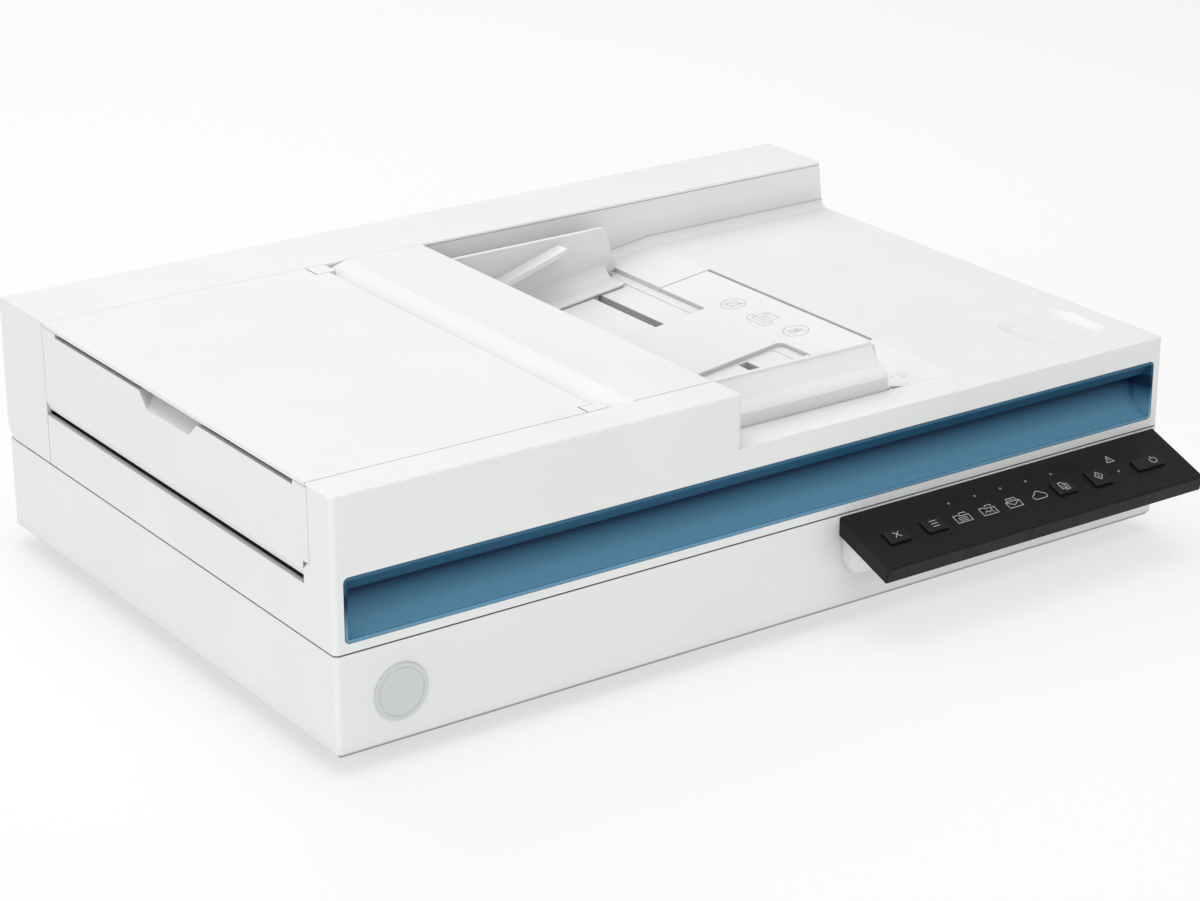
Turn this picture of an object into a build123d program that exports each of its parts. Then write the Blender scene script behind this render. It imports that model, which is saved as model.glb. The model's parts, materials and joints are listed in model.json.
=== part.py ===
from build123d import *
from math import atan, atan2, cos, degrees, pi, radians, sin, sqrt, tan
import os

# Flatbed document scanner with a hinged lid that carries a sheet feeder.
# Millimetres, +Z up. The model is drawn with x = 0 at the left face, y = 0 at the front face of the
# housings and z = 0 on the table, and is moved at the end so that the origin is at the bottom centre.

# ---- driving dimensions: whole object
WIDTH = 451.0
DEPTH = 299.0
HEIGHT = 122.0
PAN_BOTTOM = 7.5
BASE_TOP = 53.0
LID_BOTTOM = 53.7
WALL = 2.4
CORNER_R = 2.5
BOTTOM_BEVEL = 2.2

# ---- lid outline
SPINE_Y = 255.2
PLATEAU_Z = 97.2
RIM_Y = 19.3
FEEDER_X = 203.0
CREASE_X = 338.0
TRAY_SLOPE = 0.128
FLOOR_T = 3.8
SPINE_DRAFT = 2.5
COVE_R = 4.5
BAND_Y = 19.6
GAP = 0.2
SEAM_GROOVE = 0.5

# ---- hinge between the base and the lid
HINGE_Y = 291.0
HINGE_Z = 61.7
HINGE_XS = (90.0, 330.0)
HINGE_REAR_R = 8.0
LEG_HALF_X = 12.0
LEG_HALF_Y = 5.2
LEG_BOTTOM = 12.0
KNUCKLE_R = 5.6
HINGE_PIN_R = 2.5
RUN = 0.05
SLIDE = 0.3

# ---- flatbed
GLASS_X = (19.0, 331.0)
GLASS_Y = (37.0, 265.0)
GLASS_Z = (47.5, 50.5)
WINDOW_X = (25.0, 325.0)
WINDOW_Y = (43.0, 259.0)
ROD_Y = 151.0
ROD_Z = 22.0
ROD_R = 3.0
BELT_Y = 172.0
PULLEY_R = 6.0
BELT_T = 1.2
BELT_Z = (28.0, 32.0)
IDLER_X = 11.0
MOTOR_X = 352.0
SCREW_SPOTS = ((14, 14), (225, 10), (437, 14), (14, 285), (225, 287), (437, 285))

# ---- control panel, drawn on its own tilted plane
PANEL_X = (257.8, 448.5)
PANEL_TOP_Z = 52.2
PANEL_FRONT_Y = -34.7
PANEL_TILT = degrees(atan(13.0 / 34.7))
PANEL_T = 8.6
PANEL_SKIN = 2.0
BUTTON_V = -20.2
BUTTON_PROUD = 1.5
BUTTONS = {
    "cancel_button": (274.8, 12.4, 8.4),
    "menu_button": (296.4, 11.8, 8.4),
    "duplex_button": (373.9, 11.4, 9.0),
    "scan_button": (395.5, 11.2, 11.2),
    "power_button": (426.6, 17.0, 7.6),
}
LIGHT_XS = (313.2, 328.6, 344.0, 359.4, 374.8)
LIGHT_V = -9.8
READY_LIGHT = (409.1, -19.6)
LIGHT_R = 0.7

# ---- tray and paper guides
GUIDE_MID = 137.0
GUIDE_INNER = 103.0
GUIDE_OUTER = 117.4
GUIDE_TOP = 116.4
GUIDE_LEFT = 175.0
GUIDE_RIGHT = 302.0
FOOT_X = (205.0, 301.5)
FOOT_REACH = 16.5
GUIDE_COVE_R = 7.0
RECESS_X = 308.0
PAN_STEP_X = 302.6
RECESS_IN = 29.5
RECESS_OUT = 113.5
RECESS_DEPTH = 2.3
SLOT_X = (281.5, 286.5)
PLATE_Y = (76.6, 203.6)
PLATE_RIGHT = 336.8
PINION_X = 284.0
PINION_TEETH = 16
RACK_Z = (80.5, 84.0)

# ---- feeder
PATH_Z = 77.6
EXIT_END = 22.9
PANEL_NOTCH_Z = 87.5
NIP_GAP = 0.2
GUIDE_PLATE_T = 2.2
LEVEL_X = 136.0
FRAME_Y = (21.8, 252.4)
FRAME_WALL = 2.2
SHAFT_R = 3.0
FEED_R = 10.0
SEPARATION_R = 8.0
PICK_R = 9.0
PICK_ARM = 28.0
DRIVE_X = 74.0
DRIVE_R = 7.0
EXIT_X = 16.0
DRIVE_IDLER_R = 5.0
EXIT_IDLER_R = 4.5
DRIVE_TEETH = 28
FEED_TEETH = 42
PINION_MOTOR_TEETH = 14
GEAR_Y = (259.5, 265.5)
PULLEY_Y = (253.2, 258.0)
SIDE_PLATE_Y = (266.8, 268.3)
ROLL_YS = ((80.0, 100.0), (174.0, 194.0))
MIDDLE_ROLL_Y = (117.0, 157.0)

# ---- feeder cover hinge
COVER_T = 1.6
COVER_HINGE_X = 142.4
NOSE_R = 2.8
COVER_HINGE_Z = HEIGHT - NOSE_R
COVER_PIN_R = 1.2
COVER_Y = (20.0, 254.9)
LUG_FRONT = (20.0, 27.0)
LUG_REAR = (243.4, 254.6)
LUG_X = (136.9, 147.0)
LUG_SWING = 0.65

# ---- places worked out from the above
DRIVE_Z = PATH_Z + NIP_GAP - DRIVE_R
FEED_Z = PATH_Z + 3 * NIP_GAP + FEED_R
SEPARATION_Z = PATH_Z + NIP_GAP - SEPARATION_R
GEAR_DISTANCE = (DRIVE_TEETH + FEED_TEETH) / 2
FEED_X = DRIVE_X + sqrt(GEAR_DISTANCE**2 - (FEED_Z - DRIVE_Z) ** 2)
MOTOR_DISTANCE = (DRIVE_TEETH + PINION_MOTOR_TEETH) / 2
MOTOR_RISE = 8.0
MOTOR_PINION_X = DRIVE_X - sqrt(MOTOR_DISTANCE**2 - MOTOR_RISE**2)
MOTOR_PINION_Z = DRIVE_Z + MOTOR_RISE
PICK_Z = PATH_Z + 2 * NIP_GAP + PICK_R
PICK_X = FEED_X + sqrt(PICK_ARM**2 - (FEED_Z - PICK_Z) ** 2)
DRIVE_IDLER_Z = PATH_Z + 3 * NIP_GAP + DRIVE_IDLER_R
EXIT_IDLER_Z = PATH_Z + 3 * NIP_GAP + EXIT_IDLER_R

pieces = {}


# ---- shape helpers
def block(x0, x1, y0, y1, z0, z1):
    """A box between two corners."""
    return Pos((x0 + x1) / 2, (y0 + y1) / 2, (z0 + z1) / 2) * Box(x1 - x0, y1 - y0, z1 - z0)


def rounded_block(x0, x1, y0, y1, z0, z1, radius):
    """A box with rounded vertical edges."""
    solid = block(x0, x1, y0, y1, z0, z1)
    return fillet(solid.edges().filter_by(Axis.Z), radius)


def post(x, y, radius, z0, z1):
    """A round bar along Z."""
    return Pos(x, y, (z0 + z1) / 2) * Cylinder(radius, z1 - z0)


def bar_y(x, z, radius, y0, y1):
    """A round bar along Y."""
    return Pos(x, (y0 + y1) / 2, z) * Rot(90, 0, 0) * Cylinder(radius, y1 - y0)


def bar_x(y, z, radius, x0, x1):
    """A round bar along X."""
    return Pos((x0 + x1) / 2, y, z) * Rot(0, 90, 0) * Cylinder(radius, x1 - x0)


def prism_x(outline, x0, x1):
    """An outline of (y, z) points pushed along X."""
    face = make_face(Polyline(*[(x0, y, z) for y, z in outline], close=True))
    return extrude(face, amount=x1 - x0, dir=(1, 0, 0))


def prism_y(outline, y0, y1):
    """An outline of (x, z) points pushed along Y."""
    face = make_face(Polyline(*[(x, y0, z) for x, z in outline], close=True))
    return extrude(face, amount=y1 - y0, dir=(0, 1, 0))


def prism_z(outline, z0, z1):
    """An outline of (x, y) points pushed along Z."""
    face = make_face(Polyline(*[(x, y, z0) for x, y in outline], close=True))
    return extrude(face, amount=z1 - z0, dir=(0, 0, 1))


def join(solids):
    """All solids fused."""
    result = solids[0]
    for solid in solids[1:]:
        result = result + solid
    return result


def gear_outline(teeth, turn=0.0):
    """Points of a module 1 gear with straight-flanked teeth and room for backlash."""
    pitch_r = teeth / 2
    half_pitch_width = 0.20 * pi
    rises = ((-1.15, -1), (0.8, -1), (0.8, 1), (-1.15, 1))
    outline = []
    for tooth in range(teeth):
        middle = turn + 2 * pi * tooth / teeth
        for rise, side in rises:
            width = half_pitch_width - rise * tan(radians(20))
            radius = pitch_r + rise
            angle = middle + side * width / radius
            outline.append((radius * cos(angle), radius * sin(angle)))
    return outline


def gear_y(x, z, teeth, y0, y1, turn=0.0):
    """A gear whose axis runs along Y. turn is measured from +X towards +Z."""
    return prism_y([(x + u, z + v) for u, v in gear_outline(teeth, turn)], y0, y1)


def belt_loop(length, radius, width):
    """A flat belt round two pulleys a length apart, centred on the first pulley, lying in XY."""
    def stadium(r, h):
        straight = Pos(length / 2, 0, 0) * Box(length, 2 * r, h)
        return straight + Cylinder(r, h) + Pos(length, 0, 0) * Cylinder(r, h)
    return stadium(radius + BELT_T, width) - stadium(radius, width + 1)


def tray_z(x):
    """Height of the tray floor at x."""
    return PLATEAU_Z - TRAY_SLOPE * max(0.0, CREASE_X - x)


def path_z(x):
    """Height of the feeder's lower paper path at x, which meets the tray floor at the feeder's edge."""
    rise = tray_z(FEEDER_X) - PATH_Z
    return PATH_Z + rise * max(0.0, x - LEVEL_X) / (FEEDER_X - LEVEL_X)


def sloped_slab(x0, x1, y0, y1, top_drop, bottom_drop):
    """A slab that follows the sloping tray floor, between two depths under it."""
    outline = [
        (x0, tray_z(x0) - top_drop),
        (x1, tray_z(x1) - top_drop),
        (x1, tray_z(x1) - bottom_drop),
        (x0, tray_z(x0) - bottom_drop),
    ]
    return prism_y(outline, y0, y1)


def mirror_guide(solid):
    """The same solid on the other side of the paper's centre line."""
    return mirror(solid, about=Plane((0, GUIDE_MID, 0), z_dir=(0, 1, 0)))


panel_plane = Plane(
    origin=(0, 0, PANEL_TOP_Z),
    x_dir=(1, 0, 0),
    z_dir=(0, -sin(radians(PANEL_TILT)), cos(radians(PANEL_TILT))),
)


def on_panel(solid):
    """Places a solid drawn on the control panel's surface: x along it, y up the slope, z out of it."""
    return panel_plane * solid


# ---- base
def make_base_housing():
    shell = rounded_block(0, WIDTH, 0, DEPTH, PAN_BOTTOM, BASE_TOP, CORNER_R)
    shell = chamfer(shell.faces().sort_by(Axis.Z)[0].edges(), BOTTOM_BEVEL)
    floor_top = PAN_BOTTOM + WALL
    shell -= block(WALL, WIDTH - WALL, WALL, DEPTH - WALL, floor_top, BASE_TOP + 1)
    low = floor_top - 0.5
    for x, y in SCREW_SPOTS:
        shell += post(x, y, 4.0, low, 44.0)
        shell -= post(x, y, 1.7, PAN_BOTTOM - 1, 45.0)
        shell -= post(x, y, 3.1, PAN_BOTTOM - 1, PAN_BOTTOM + 2.0)
    for x in (3.4, 345.0):
        shell += block(x, x + 5.0, ROD_Y - 6, ROD_Y + 6, low, ROD_Z + 5)
        shell -= bar_x(ROD_Y, ROD_Z, ROD_R, x, x + 5.0)
    shell += post(IDLER_X, BELT_Y, 4.5, low, 26.6)
    shell += post(IDLER_X, BELT_Y, 2.0, low, 33.1)
    for x in (378.0, 426.0):
        for y in (126.0, 276.0):
            shell += post(x, y, 3.0, low, 14.0)
    for x in HINGE_XS:
        wall = LEG_HALF_X + SLIDE
        socket = block(x - wall - 2.5, x + wall + 2.5, HINGE_Y - 8.0, DEPTH - 1, low, 50.5)
        shell += socket
        shell -= leg_room(x, floor_top, BASE_TOP)
    for x, z, half_w, half_h in ((401.0, 21.1, 6.3, 5.8), (424.0, 20.6, 4.8, 5.3)):
        shell -= block(x - half_w, x + half_w, DEPTH - 3, DEPTH + 1, z - half_h, z + half_h)
    return shell - block(340, 352, -1, WALL + 1, 44.5, 48.5)


def make_panel_support():
    """The rounded bracket that stands out from the front wall and carries the control panel."""
    reach = 14.0
    low_z = 22.0
    high_z = 42.7
    section = [(0.0, high_z), (-reach, high_z - 0.36 * reach), (0.0, low_z)]
    wedge = prism_x(section, PANEL_X[0] + 2.2, PANEL_X[1] - 2.0)
    outline = block(PANEL_X[0] + 2.2, PANEL_X[1] - 2.0, -reach - 1, 0.0, low_z, high_z + 12)
    outline = fillet(outline.edges().filter_by(Axis.Y).group_by(Axis.Z)[0], 12.0)
    return wedge & outline


def leg_room(x, z0, z1):
    """The square hole that a hinge leg slides in."""
    reach_x = LEG_HALF_X + SLIDE
    reach_y = LEG_HALF_Y + SLIDE
    return block(x - reach_x, x + reach_x, HINGE_Y - reach_y, HINGE_Y + reach_y, z0, z1 + 1)


def make_platen_frame():
    rim = WALL + 0.3
    frame = block(rim, WIDTH - rim, rim, DEPTH - rim, GLASS_Z[1], BASE_TOP)
    frame -= rounded_block(*WINDOW_X, *WINDOW_Y, GLASS_Z[1] - 1, BASE_TOP + 1, 1.0)
    for x, y in SCREW_SPOTS:
        frame += post(x, y, 4.0, 44.0, GLASS_Z[1] + 0.5)
        frame -= post(x, y, 1.55, 43.0, 50.0)
    for x in HINGE_XS:
        frame -= leg_room(x, 40, 60)
    return frame


def make_rubber_feet():
    spots = ((24, 24), (WIDTH - 24, 24), (24, DEPTH - 28), (WIDTH - 24, DEPTH - 28))
    feet = []
    for x, y in spots:
        foot = post(x, y, 8.0, 0, PAN_BOTTOM)
        feet.append(chamfer(foot.faces().sort_by(Axis.Z)[0].edges(), 1.0))
    return feet


def make_housing_screws():
    head = PAN_BOTTOM + 2.0
    return [post(x, y, 1.5, head, 48.5) + post(x, y, 2.8, head - 1.8, head) for x, y in SCREW_SPOTS]


def make_scan_carriage():
    x0 = 12.0
    x1 = 42.0
    beam = block(x0, x1, 60, 242, 33.6, 36.4)
    bush = block(x0, x1, ROD_Y - 7, ROD_Y + 7, 15.5, 34)
    inner_run = BELT_Y - PULLEY_R - 0.3 - BELT_T / 2
    fork = block(20, 36, inner_run - 3, inner_run + 3, 27.0, 34)
    slot = block(19, 37, inner_run - BELT_T / 2 - 0.4, inner_run + BELT_T / 2 + 0.4, 26.0, 32.6)
    carriage = beam + bush + fork - slot
    for x in (17.8, 34.4):
        carriage += block(x, x + 1.8, 60, 242, 36.0, 43.0)
    return carriage - bar_x(ROD_Y, ROD_Z, ROD_R + RUN, x0 - 1, x1 + 1)


def make_flatbed_sensor():
    x0 = 20.0
    x1 = 34.0
    sensor = block(x0, x1, *WINDOW_Y, 39.2, 46.6)
    lens = block(x0 + 3, x1 - 3, WINDOW_Y[0] + 4, WINDOW_Y[1] - 4, 46.0, 47.2)
    return sensor + lens


def make_leaf_springs():
    """Two bowed strips between the carriage and the image sensor."""
    springs = []
    for y in (90.0, 212.0):
        low = 36.4
        high = 39.2
        top = Edge.make_three_point_arc((27, y - 14, low + 0.3), (27, y, high), (27, y + 14, low + 0.3))
        under = Edge.make_three_point_arc((27, y + 14, low), (27, y, high - 0.3), (27, y - 14, low))
        ends = [
            Edge.make_line((27, y + 14, low + 0.3), (27, y + 14, low)),
            Edge.make_line((27, y - 14, low), (27, y - 14, low + 0.3)),
        ]
        face = Face(Wire([top, ends[0], under, ends[1]]))
        springs.append(Pos(-3, 0, 0) * extrude(face, amount=6, dir=(1, 0, 0)))
    return springs


def make_carriage_belt():
    middle_z = (BELT_Z[0] + BELT_Z[1]) / 2
    loop = belt_loop(MOTOR_X - IDLER_X, PULLEY_R + 0.3, BELT_Z[1] - BELT_Z[0])
    return Pos(IDLER_X, BELT_Y, middle_z) * loop


def make_pulley(x, bore):
    wheel = post(x, BELT_Y, PULLEY_R, 27.2, 33.0)
    wheel += post(x, BELT_Y, PULLEY_R + 0.2, 27.2, 27.7)
    wheel += post(x, BELT_Y, PULLEY_R + 0.2, 32.4, 33.0)
    return wheel - post(x, BELT_Y, bore, 20, 40)


def make_carriage_motor():
    body = post(MOTOR_X, BELT_Y, 13.5, PAN_BOTTOM + WALL, 25.0)
    ears = rounded_block(MOTOR_X - 19, MOTOR_X + 19, BELT_Y - 4, BELT_Y + 4, 24.0, 25.4, 3.5)
    shaft = post(MOTOR_X, BELT_Y, 1.5, 25.0, 32.6)
    return body + ears + shaft


def make_main_board():
    board = block(373, 431, 120, 294, 14.0, 15.6)
    chips = ((394, 416, 200, 222), (400, 412, 150, 170), (382, 390, 240, 262), (420, 428, 190, 230))
    for x0, x1, y0, y1 in chips:
        board += block(x0, x1, y0, y1, 15.6, 18.0)
    for x in (384.0, 396.0, 408.0):
        board += post(x, 134, 3.5, 15.6, 26.0)
    return board


def make_usb_port():
    port = block(395.0, 407.0, 282.0, 297.8, 15.6, 26.6)
    port -= block(396.4, 405.6, 283.5, 298.5, 17.0, 25.2)
    return port + block(398.2, 403.8, 283.0, 288.5, 19.6, 22.6)


def make_power_jack():
    jack = block(419.5, 428.5, 283.0, 297.8, 15.6, 25.6)
    jack -= bar_y(424.0, 20.9, 3.3, 285.0, 298.5)
    return jack + bar_y(424.0, 20.9, 1.0, 284.5, 288.5)


# ---- control panel
def panel_block(x0, x1, v0, v1, w0, w1):
    return on_panel(block(x0, x1, v0, v1, w0, w1))


def make_control_panel_housing():
    front_top = PANEL_FRONT_Y
    section = [(0, PANEL_TOP_Z), (front_top, 39.2), (-32.7, 31.3), (0, 43.0)]
    shell = prism_x(section, *PANEL_X)
    front = shell.edges().filter_by(Axis.X).sort_by(Axis.Y)[:2]
    shell = chamfer(front, 0.8)
    ends = shell.faces().filter_by(Axis.X)
    top_edges = [edge for face in ends for edge in face.edges() if edge.center().Y < -1]
    shell = chamfer(top_edges, 0.7)
    room = panel_block(PANEL_X[0] + 2, PANEL_X[1] - 2, -34.0, 4.0, -7.0, -PANEL_SKIN)
    shell -= room & block(*PANEL_X, -60, 0, 0, 90)
    for x, width, length in BUTTONS.values():
        hole = rounded_block(x - width / 2, x + width / 2, -length / 2, length / 2, -4, 2, 1.2)
        shell -= on_panel(Pos(0, BUTTON_V, 0) * hole)
    for x, v in light_spots():
        shell -= on_panel(Pos(x, v, 0) * Cylinder(LIGHT_R + 0.05, 8))
    return shell


def light_spots():
    return [(x, LIGHT_V) for x in LIGHT_XS] + [READY_LIGHT]


def make_control_board():
    board = panel_block(262, 444, -30.5, -4, -6.9, -5.4)
    for x, _, _ in BUTTONS.values():
        board += on_panel(Pos(x, BUTTON_V, -4.9) * Box(6, 6, 1.4))
    for x, v in light_spots():
        board += on_panel(Pos(x, v, -5.0) * Box(2.0, 1.6, 0.9))
    return board


def make_button(x, width, length):
    clear = 0.2
    half_w = width / 2 - clear
    half_l = length / 2 - clear
    cap = rounded_block(-half_w, half_w, -half_l, half_l, -2.6, BUTTON_PROUD, 1.1)
    cap = chamfer(cap.faces().sort_by(Axis.Z)[-1].edges(), 0.35)
    flange = block(-half_w - 0.8, half_w + 0.8, -half_l - 0.6, half_l + 0.6, -3.1, -PANEL_SKIN - 0.1)
    stem = Pos(0, 0, -3.2) * Cylinder(1.5, 0.3)
    return on_panel(Pos(x, BUTTON_V, 0) * (cap + flange + stem))


def make_status_lights():
    return [on_panel(Pos(x, v, -2.25) * Cylinder(LIGHT_R, 4.6)) for x, v in light_spots()]


def make_badge():
    disc = bar_y(30.3, 30.6, 12.7, -0.7, 0.0)
    disc = chamfer(disc.faces().sort_by(Axis.Y)[0].edges(), 0.3)
    ring = bar_y(30.3, 30.6, 10.9, -1.0, -0.55) - bar_y(30.3, 30.6, 10.3, -2.0, 0.0)
    return disc - ring


# ---- hinge
def make_hinge_legs():
    legs = []
    for x in HINGE_XS:
        leg = block(x - LEG_HALF_X, x + LEG_HALF_X, HINGE_Y - LEG_HALF_Y, HINGE_Y + LEG_HALF_Y,
                    LEG_BOTTOM, HINGE_Z)
        leg += bar_x(HINGE_Y, HINGE_Z, KNUCKLE_R, x - LEG_HALF_X, x + LEG_HALF_X)
        legs.append(leg - bar_x(HINGE_Y, HINGE_Z, HINGE_PIN_R + RUN, x - 20, x + 20))
    return legs


def make_hinge_brackets():
    brackets = []
    for x in HINGE_XS:
        inner = LEG_HALF_X + 0.8
        outer = LEG_HALF_X + 3.2
        sides = []
        for a, b in ((-outer, -inner), (inner, outer)):
            cheek = block(x + a, x + b, HINGE_Y - 5.4, HINGE_Y + 5.6, HINGE_Z, 73.0)
            cheek += bar_x(HINGE_Y, HINGE_Z, 5.4, x + a, x + b)
            sides.append(cheek)
        web = block(x - outer, x + outer, HINGE_Y - 5.4, HINGE_Y + 5.6, 72.0, 75.0)
        bracket = join(sides + [web])
        brackets.append(bracket - bar_x(HINGE_Y, HINGE_Z, HINGE_PIN_R, x - 20, x + 20))
    return brackets


def make_hinge_pins():
    reach = LEG_HALF_X + 3.2
    return [bar_x(HINGE_Y, HINGE_Z, HINGE_PIN_R, x - reach, x + reach) for x in HINGE_XS]


# ---- lid shells
def make_lid_base():
    rim = WALL + 0.3
    rear = 283.6
    pan = block(rim, WIDTH - rim, rim, rear, LID_BOTTOM, LID_BOTTOM + 2.2)
    top = LID_BOTTOM + 2.0
    for x in (210.0, 300.0, 390.0):
        pan += block(x, x + 1.8, 30, 250, top, 66.0)
    for y in (30.0, 90.0, 170.0, 248.2):
        pan += block(210.0, 391.8, y, y + 1.8, top, 66.0)
    return pan


def tray_outline(x0, x1, drop, low):
    """Outline of the tray side of the lid: sloping floor, then plateau, less a skin thickness."""
    return [
        (x0, low),
        (x0, tray_z(x0) - drop),
        (CREASE_X, PLATEAU_Z - drop),
        (x1, PLATEAU_Z - drop),
        (x1, low),
    ]


def rim_ramp(y_wall, y_foot):
    """The wedge that fades the step between the rim and the sloping floor, right of a paper guide."""
    x = RECESS_X + 1.0
    corner = [(x, y_wall, PLATEAU_Z), (x, y_wall, tray_z(x) - 0.5), (x, y_foot, tray_z(x) - 0.5)]
    base = make_face(Polyline(*corner, close=True))
    return loft([base, Vertex(CREASE_X, y_wall, PLATEAU_Z)])


def spine_cove():
    """The concave strip where the tray floor and the plateau run up into the rear spine."""
    wall = SPINE_Y - 0.1
    strips = []
    for x0, x1, rise in ((CREASE_X, WIDTH, 0.0), (CREASE_X, RECESS_X + 1.0, TRAY_SLOPE)):
        high = (x0, wall, PLATEAU_Z + COVE_R)
        low = (x0, wall - COVE_R, PLATEAU_Z)
        bend = (1 - sin(radians(45))) * COVE_R
        arc = Edge.make_three_point_arc(high, (x0, wall - bend, PLATEAU_Z + bend), low)
        foot = (x0, wall - COVE_R, PLATEAU_Z - 0.5)
        heel = (x0, wall, PLATEAU_Z - 0.5)
        sides = [Edge.make_line(low, foot), Edge.make_line(foot, heel), Edge.make_line(heel, high)]
        section = Face(Wire([arc] + sides))
        run = Vector(x1 - x0, 0, rise * (x1 - x0))
        strips.append(extrude(section, amount=run.length, dir=run))
    return join(strips)


def make_lid_housing():
    high = WIDTH - WALL
    outer = rounded_block(0, WIDTH, 0, SPINE_Y + 20, LID_BOTTOM, PLATEAU_Z, CORNER_R)
    outer &= block(-1, WIDTH + 1, -1, SPINE_Y - 0.1, 0, HEIGHT)
    band = rounded_block(0, FEEDER_X, 0, BAND_Y + 20, LID_BOTTOM, HEIGHT, CORNER_R)
    band &= block(-1, FEEDER_X + 0.1, -1, BAND_Y, 0, HEIGHT)
    shell = outer + band
    shell = fillet(shell.faces().filter_by(Axis.Z).sort_by(Axis.Z)[-1].edges().sort_by(Axis.Y)[0], 1.0)

    floor_cut = [
        (FEEDER_X - 1, tray_z(FEEDER_X - 1)),
        (CREASE_X, PLATEAU_Z),
        (CREASE_X, PLATEAU_Z + 1),
        (FEEDER_X - 1, PLATEAU_Z + 1),
    ]
    shell -= prism_y(floor_cut, RIM_Y, SPINE_Y)
    shell += rim_ramp(RIM_Y, RIM_Y + 13.0)
    shell += spine_cove()

    shell -= block(-1, FEEDER_X, BAND_Y, SPINE_Y, PATH_Z, HEIGHT + 1)
    shell -= block(WALL, FEEDER_X, BAND_Y, SPINE_Y, 0, HEIGHT + 1)
    shell -= block(WALL, FEEDER_X - WALL, WALL, BAND_Y - 1.8, 0, HEIGHT - WALL)
    inside = tray_outline(FEEDER_X + 2.2, high, FLOOR_T, 0)
    shell -= prism_y(inside, WALL, SPINE_Y)
    shell -= block(FEEDER_X + 2.2, high, WALL, RIM_Y - 1.8, 0, PLATEAU_Z - FLOOR_T)
    shell -= block(FEEDER_X - 10, FEEDER_X + 10, WALL, BAND_Y - 1.8, 0, 87.5)
    shell -= block(FEEDER_X - 1, FEEDER_X + 10, BAND_Y, SPINE_Y, 0, 74.0)

    shell -= block(WALL, high, WALL, SPINE_Y, 0, LID_BOTTOM + 2.3)

    window = block(4.9, 446.0, -1, WALL + 1, 57.7, 86.5)
    shell -= fillet(window.edges().filter_by(Axis.Y), 2.5)
    shell -= block(-1, WALL + 0.1, 17.9, BAND_Y + 1, 87.4, 120.9)
    shell -= block(-1, SEAM_GROOVE, SPINE_Y - 0.4, SPINE_Y, 0, PATH_Z)

    cheek = [(BAND_Y - 0.2, PATH_Z - 1), (EXIT_END - GAP, PATH_Z - 1), (EXIT_END - GAP, 84.2)]
    cheek += [(BAND_Y + GAP, PANEL_NOTCH_Z - GAP), (BAND_Y - 0.2, PANEL_NOTCH_Z - GAP)]
    shell += prism_x(cheek, 0, WALL - 0.1)

    shell -= finger_dish()
    shell -= sloped_slab(FEEDER_X - 1, CREASE_X + 0.3, PLATE_Y[0] - GAP, PLATE_Y[1] + GAP, -0.1, 1.7)
    for pan in guide_recesses(RECESS_X, RECESS_DEPTH, -0.5):
        shell -= pan
    for step in guide_recesses(PAN_STEP_X, RECESS_DEPTH + 0.3, 0.5):
        shell -= step
    for slot in rack_slots():
        shell -= slot
    boss = post(PINION_X, GUIDE_MID, 4.5, RACK_Z[1] + 0.3, tray_z(PINION_X) - 2.2)
    boss += post(PINION_X, GUIDE_MID, 2.0, RACK_Z[0] - 1.0, tray_z(PINION_X) - 2.2)
    return shell + boss


def finger_dish():
    """The shallow dish in the plateau, with sloping sides."""
    low = Pos(418.4, 41.5, PLATEAU_Z - 2.2) * RectangleRounded(34.0, 27.0, 5.0)
    high = Pos(418.4, 41.5, PLATEAU_Z + 0.01) * RectangleRounded(44.0, 37.0, 8.0)
    return loft([low, high])


def guide_recesses(x_right, bottom, top):
    """The two shallow pans in the floor that the feet of the guides slide in."""
    pans = []
    for side in (-1, 1):
        ends = sorted((GUIDE_MID + side * RECESS_IN, GUIDE_MID + side * RECESS_OUT))
        pan = sloped_slab(FEEDER_X - 1, x_right, *ends, top, bottom)
        right = pan.edges().filter_by(Axis.Z).group_by(Axis.X)[-1]
        inner = right.sort_by(Axis.Y)
        chosen = inner[-1] if side < 0 else inner[0]
        pans.append(fillet(chosen, 4.0) if side < 0 else fillet(chosen, 1.5))
    return pans


def rack_slots():
    slots = []
    for side in (-1, 1):
        ends = sorted((GUIDE_MID + side * (RECESS_IN + 2), GUIDE_MID + side * (RECESS_OUT - 4)))
        slots.append(block(*SLOT_X, *ends, 80, 100))
    return slots


def make_tray_plate():
    plate = sloped_slab(FEEDER_X + 0.4, PLATE_RIGHT, *PLATE_Y, 0.25, 1.6)
    for recess in guide_recesses(RECESS_X, 3.0, -0.6):
        plate -= recess
    return plate


def make_grip_recess():
    """The blue grip tub let into the front of the lid."""
    x0 = 5.15
    x1 = 445.75
    outer = block(x0, x1, 0.0, WALL + 0.2, 57.95, 86.25)
    outer = fillet(outer.edges().filter_by(Axis.Y), 2.3)
    outer += block(x0 + 0.6, x1 - 0.6, WALL + 0.01, 15.0, 58.3, 85.9)
    roof = [(-1, 84.9), (0.8, 84.9), (4.5, 79.3), (13.2, 77.4)]
    sill = [(1.2, 59.3), (-1, 59.3)]
    section = Polyline(*[(0, y, z) for y, z in roof]) + Polyline(*[(0, y, z) for y, z in sill])
    section += ThreePointArc((0, *roof[-1]), (0, 10.4, 67.2), (0, *sill[0]))
    section += Line((0, *sill[-1]), (0, *roof[0]))
    tunnel = extrude(make_face(section), amount=x1 - x0, dir=(1, 0, 0))
    hollow = Pos(x0, 0, 0) * tunnel & block(x0 + 3.4, x1 - 3.4, -2, 20, 50, 95)
    mouth = [(x0 + 1.4, -1), (x0 + 1.4, 0.8), (x0 + 4.6, 13.3)]
    mouth += [(x1 - 4.6, 13.3), (x1 - 1.4, 0.8), (x1 - 1.4, -1)]
    wide = Pos(x0, 0, 0) * tunnel & prism_z(mouth, 50, 95)
    return outer - (hollow + wide)


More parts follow.
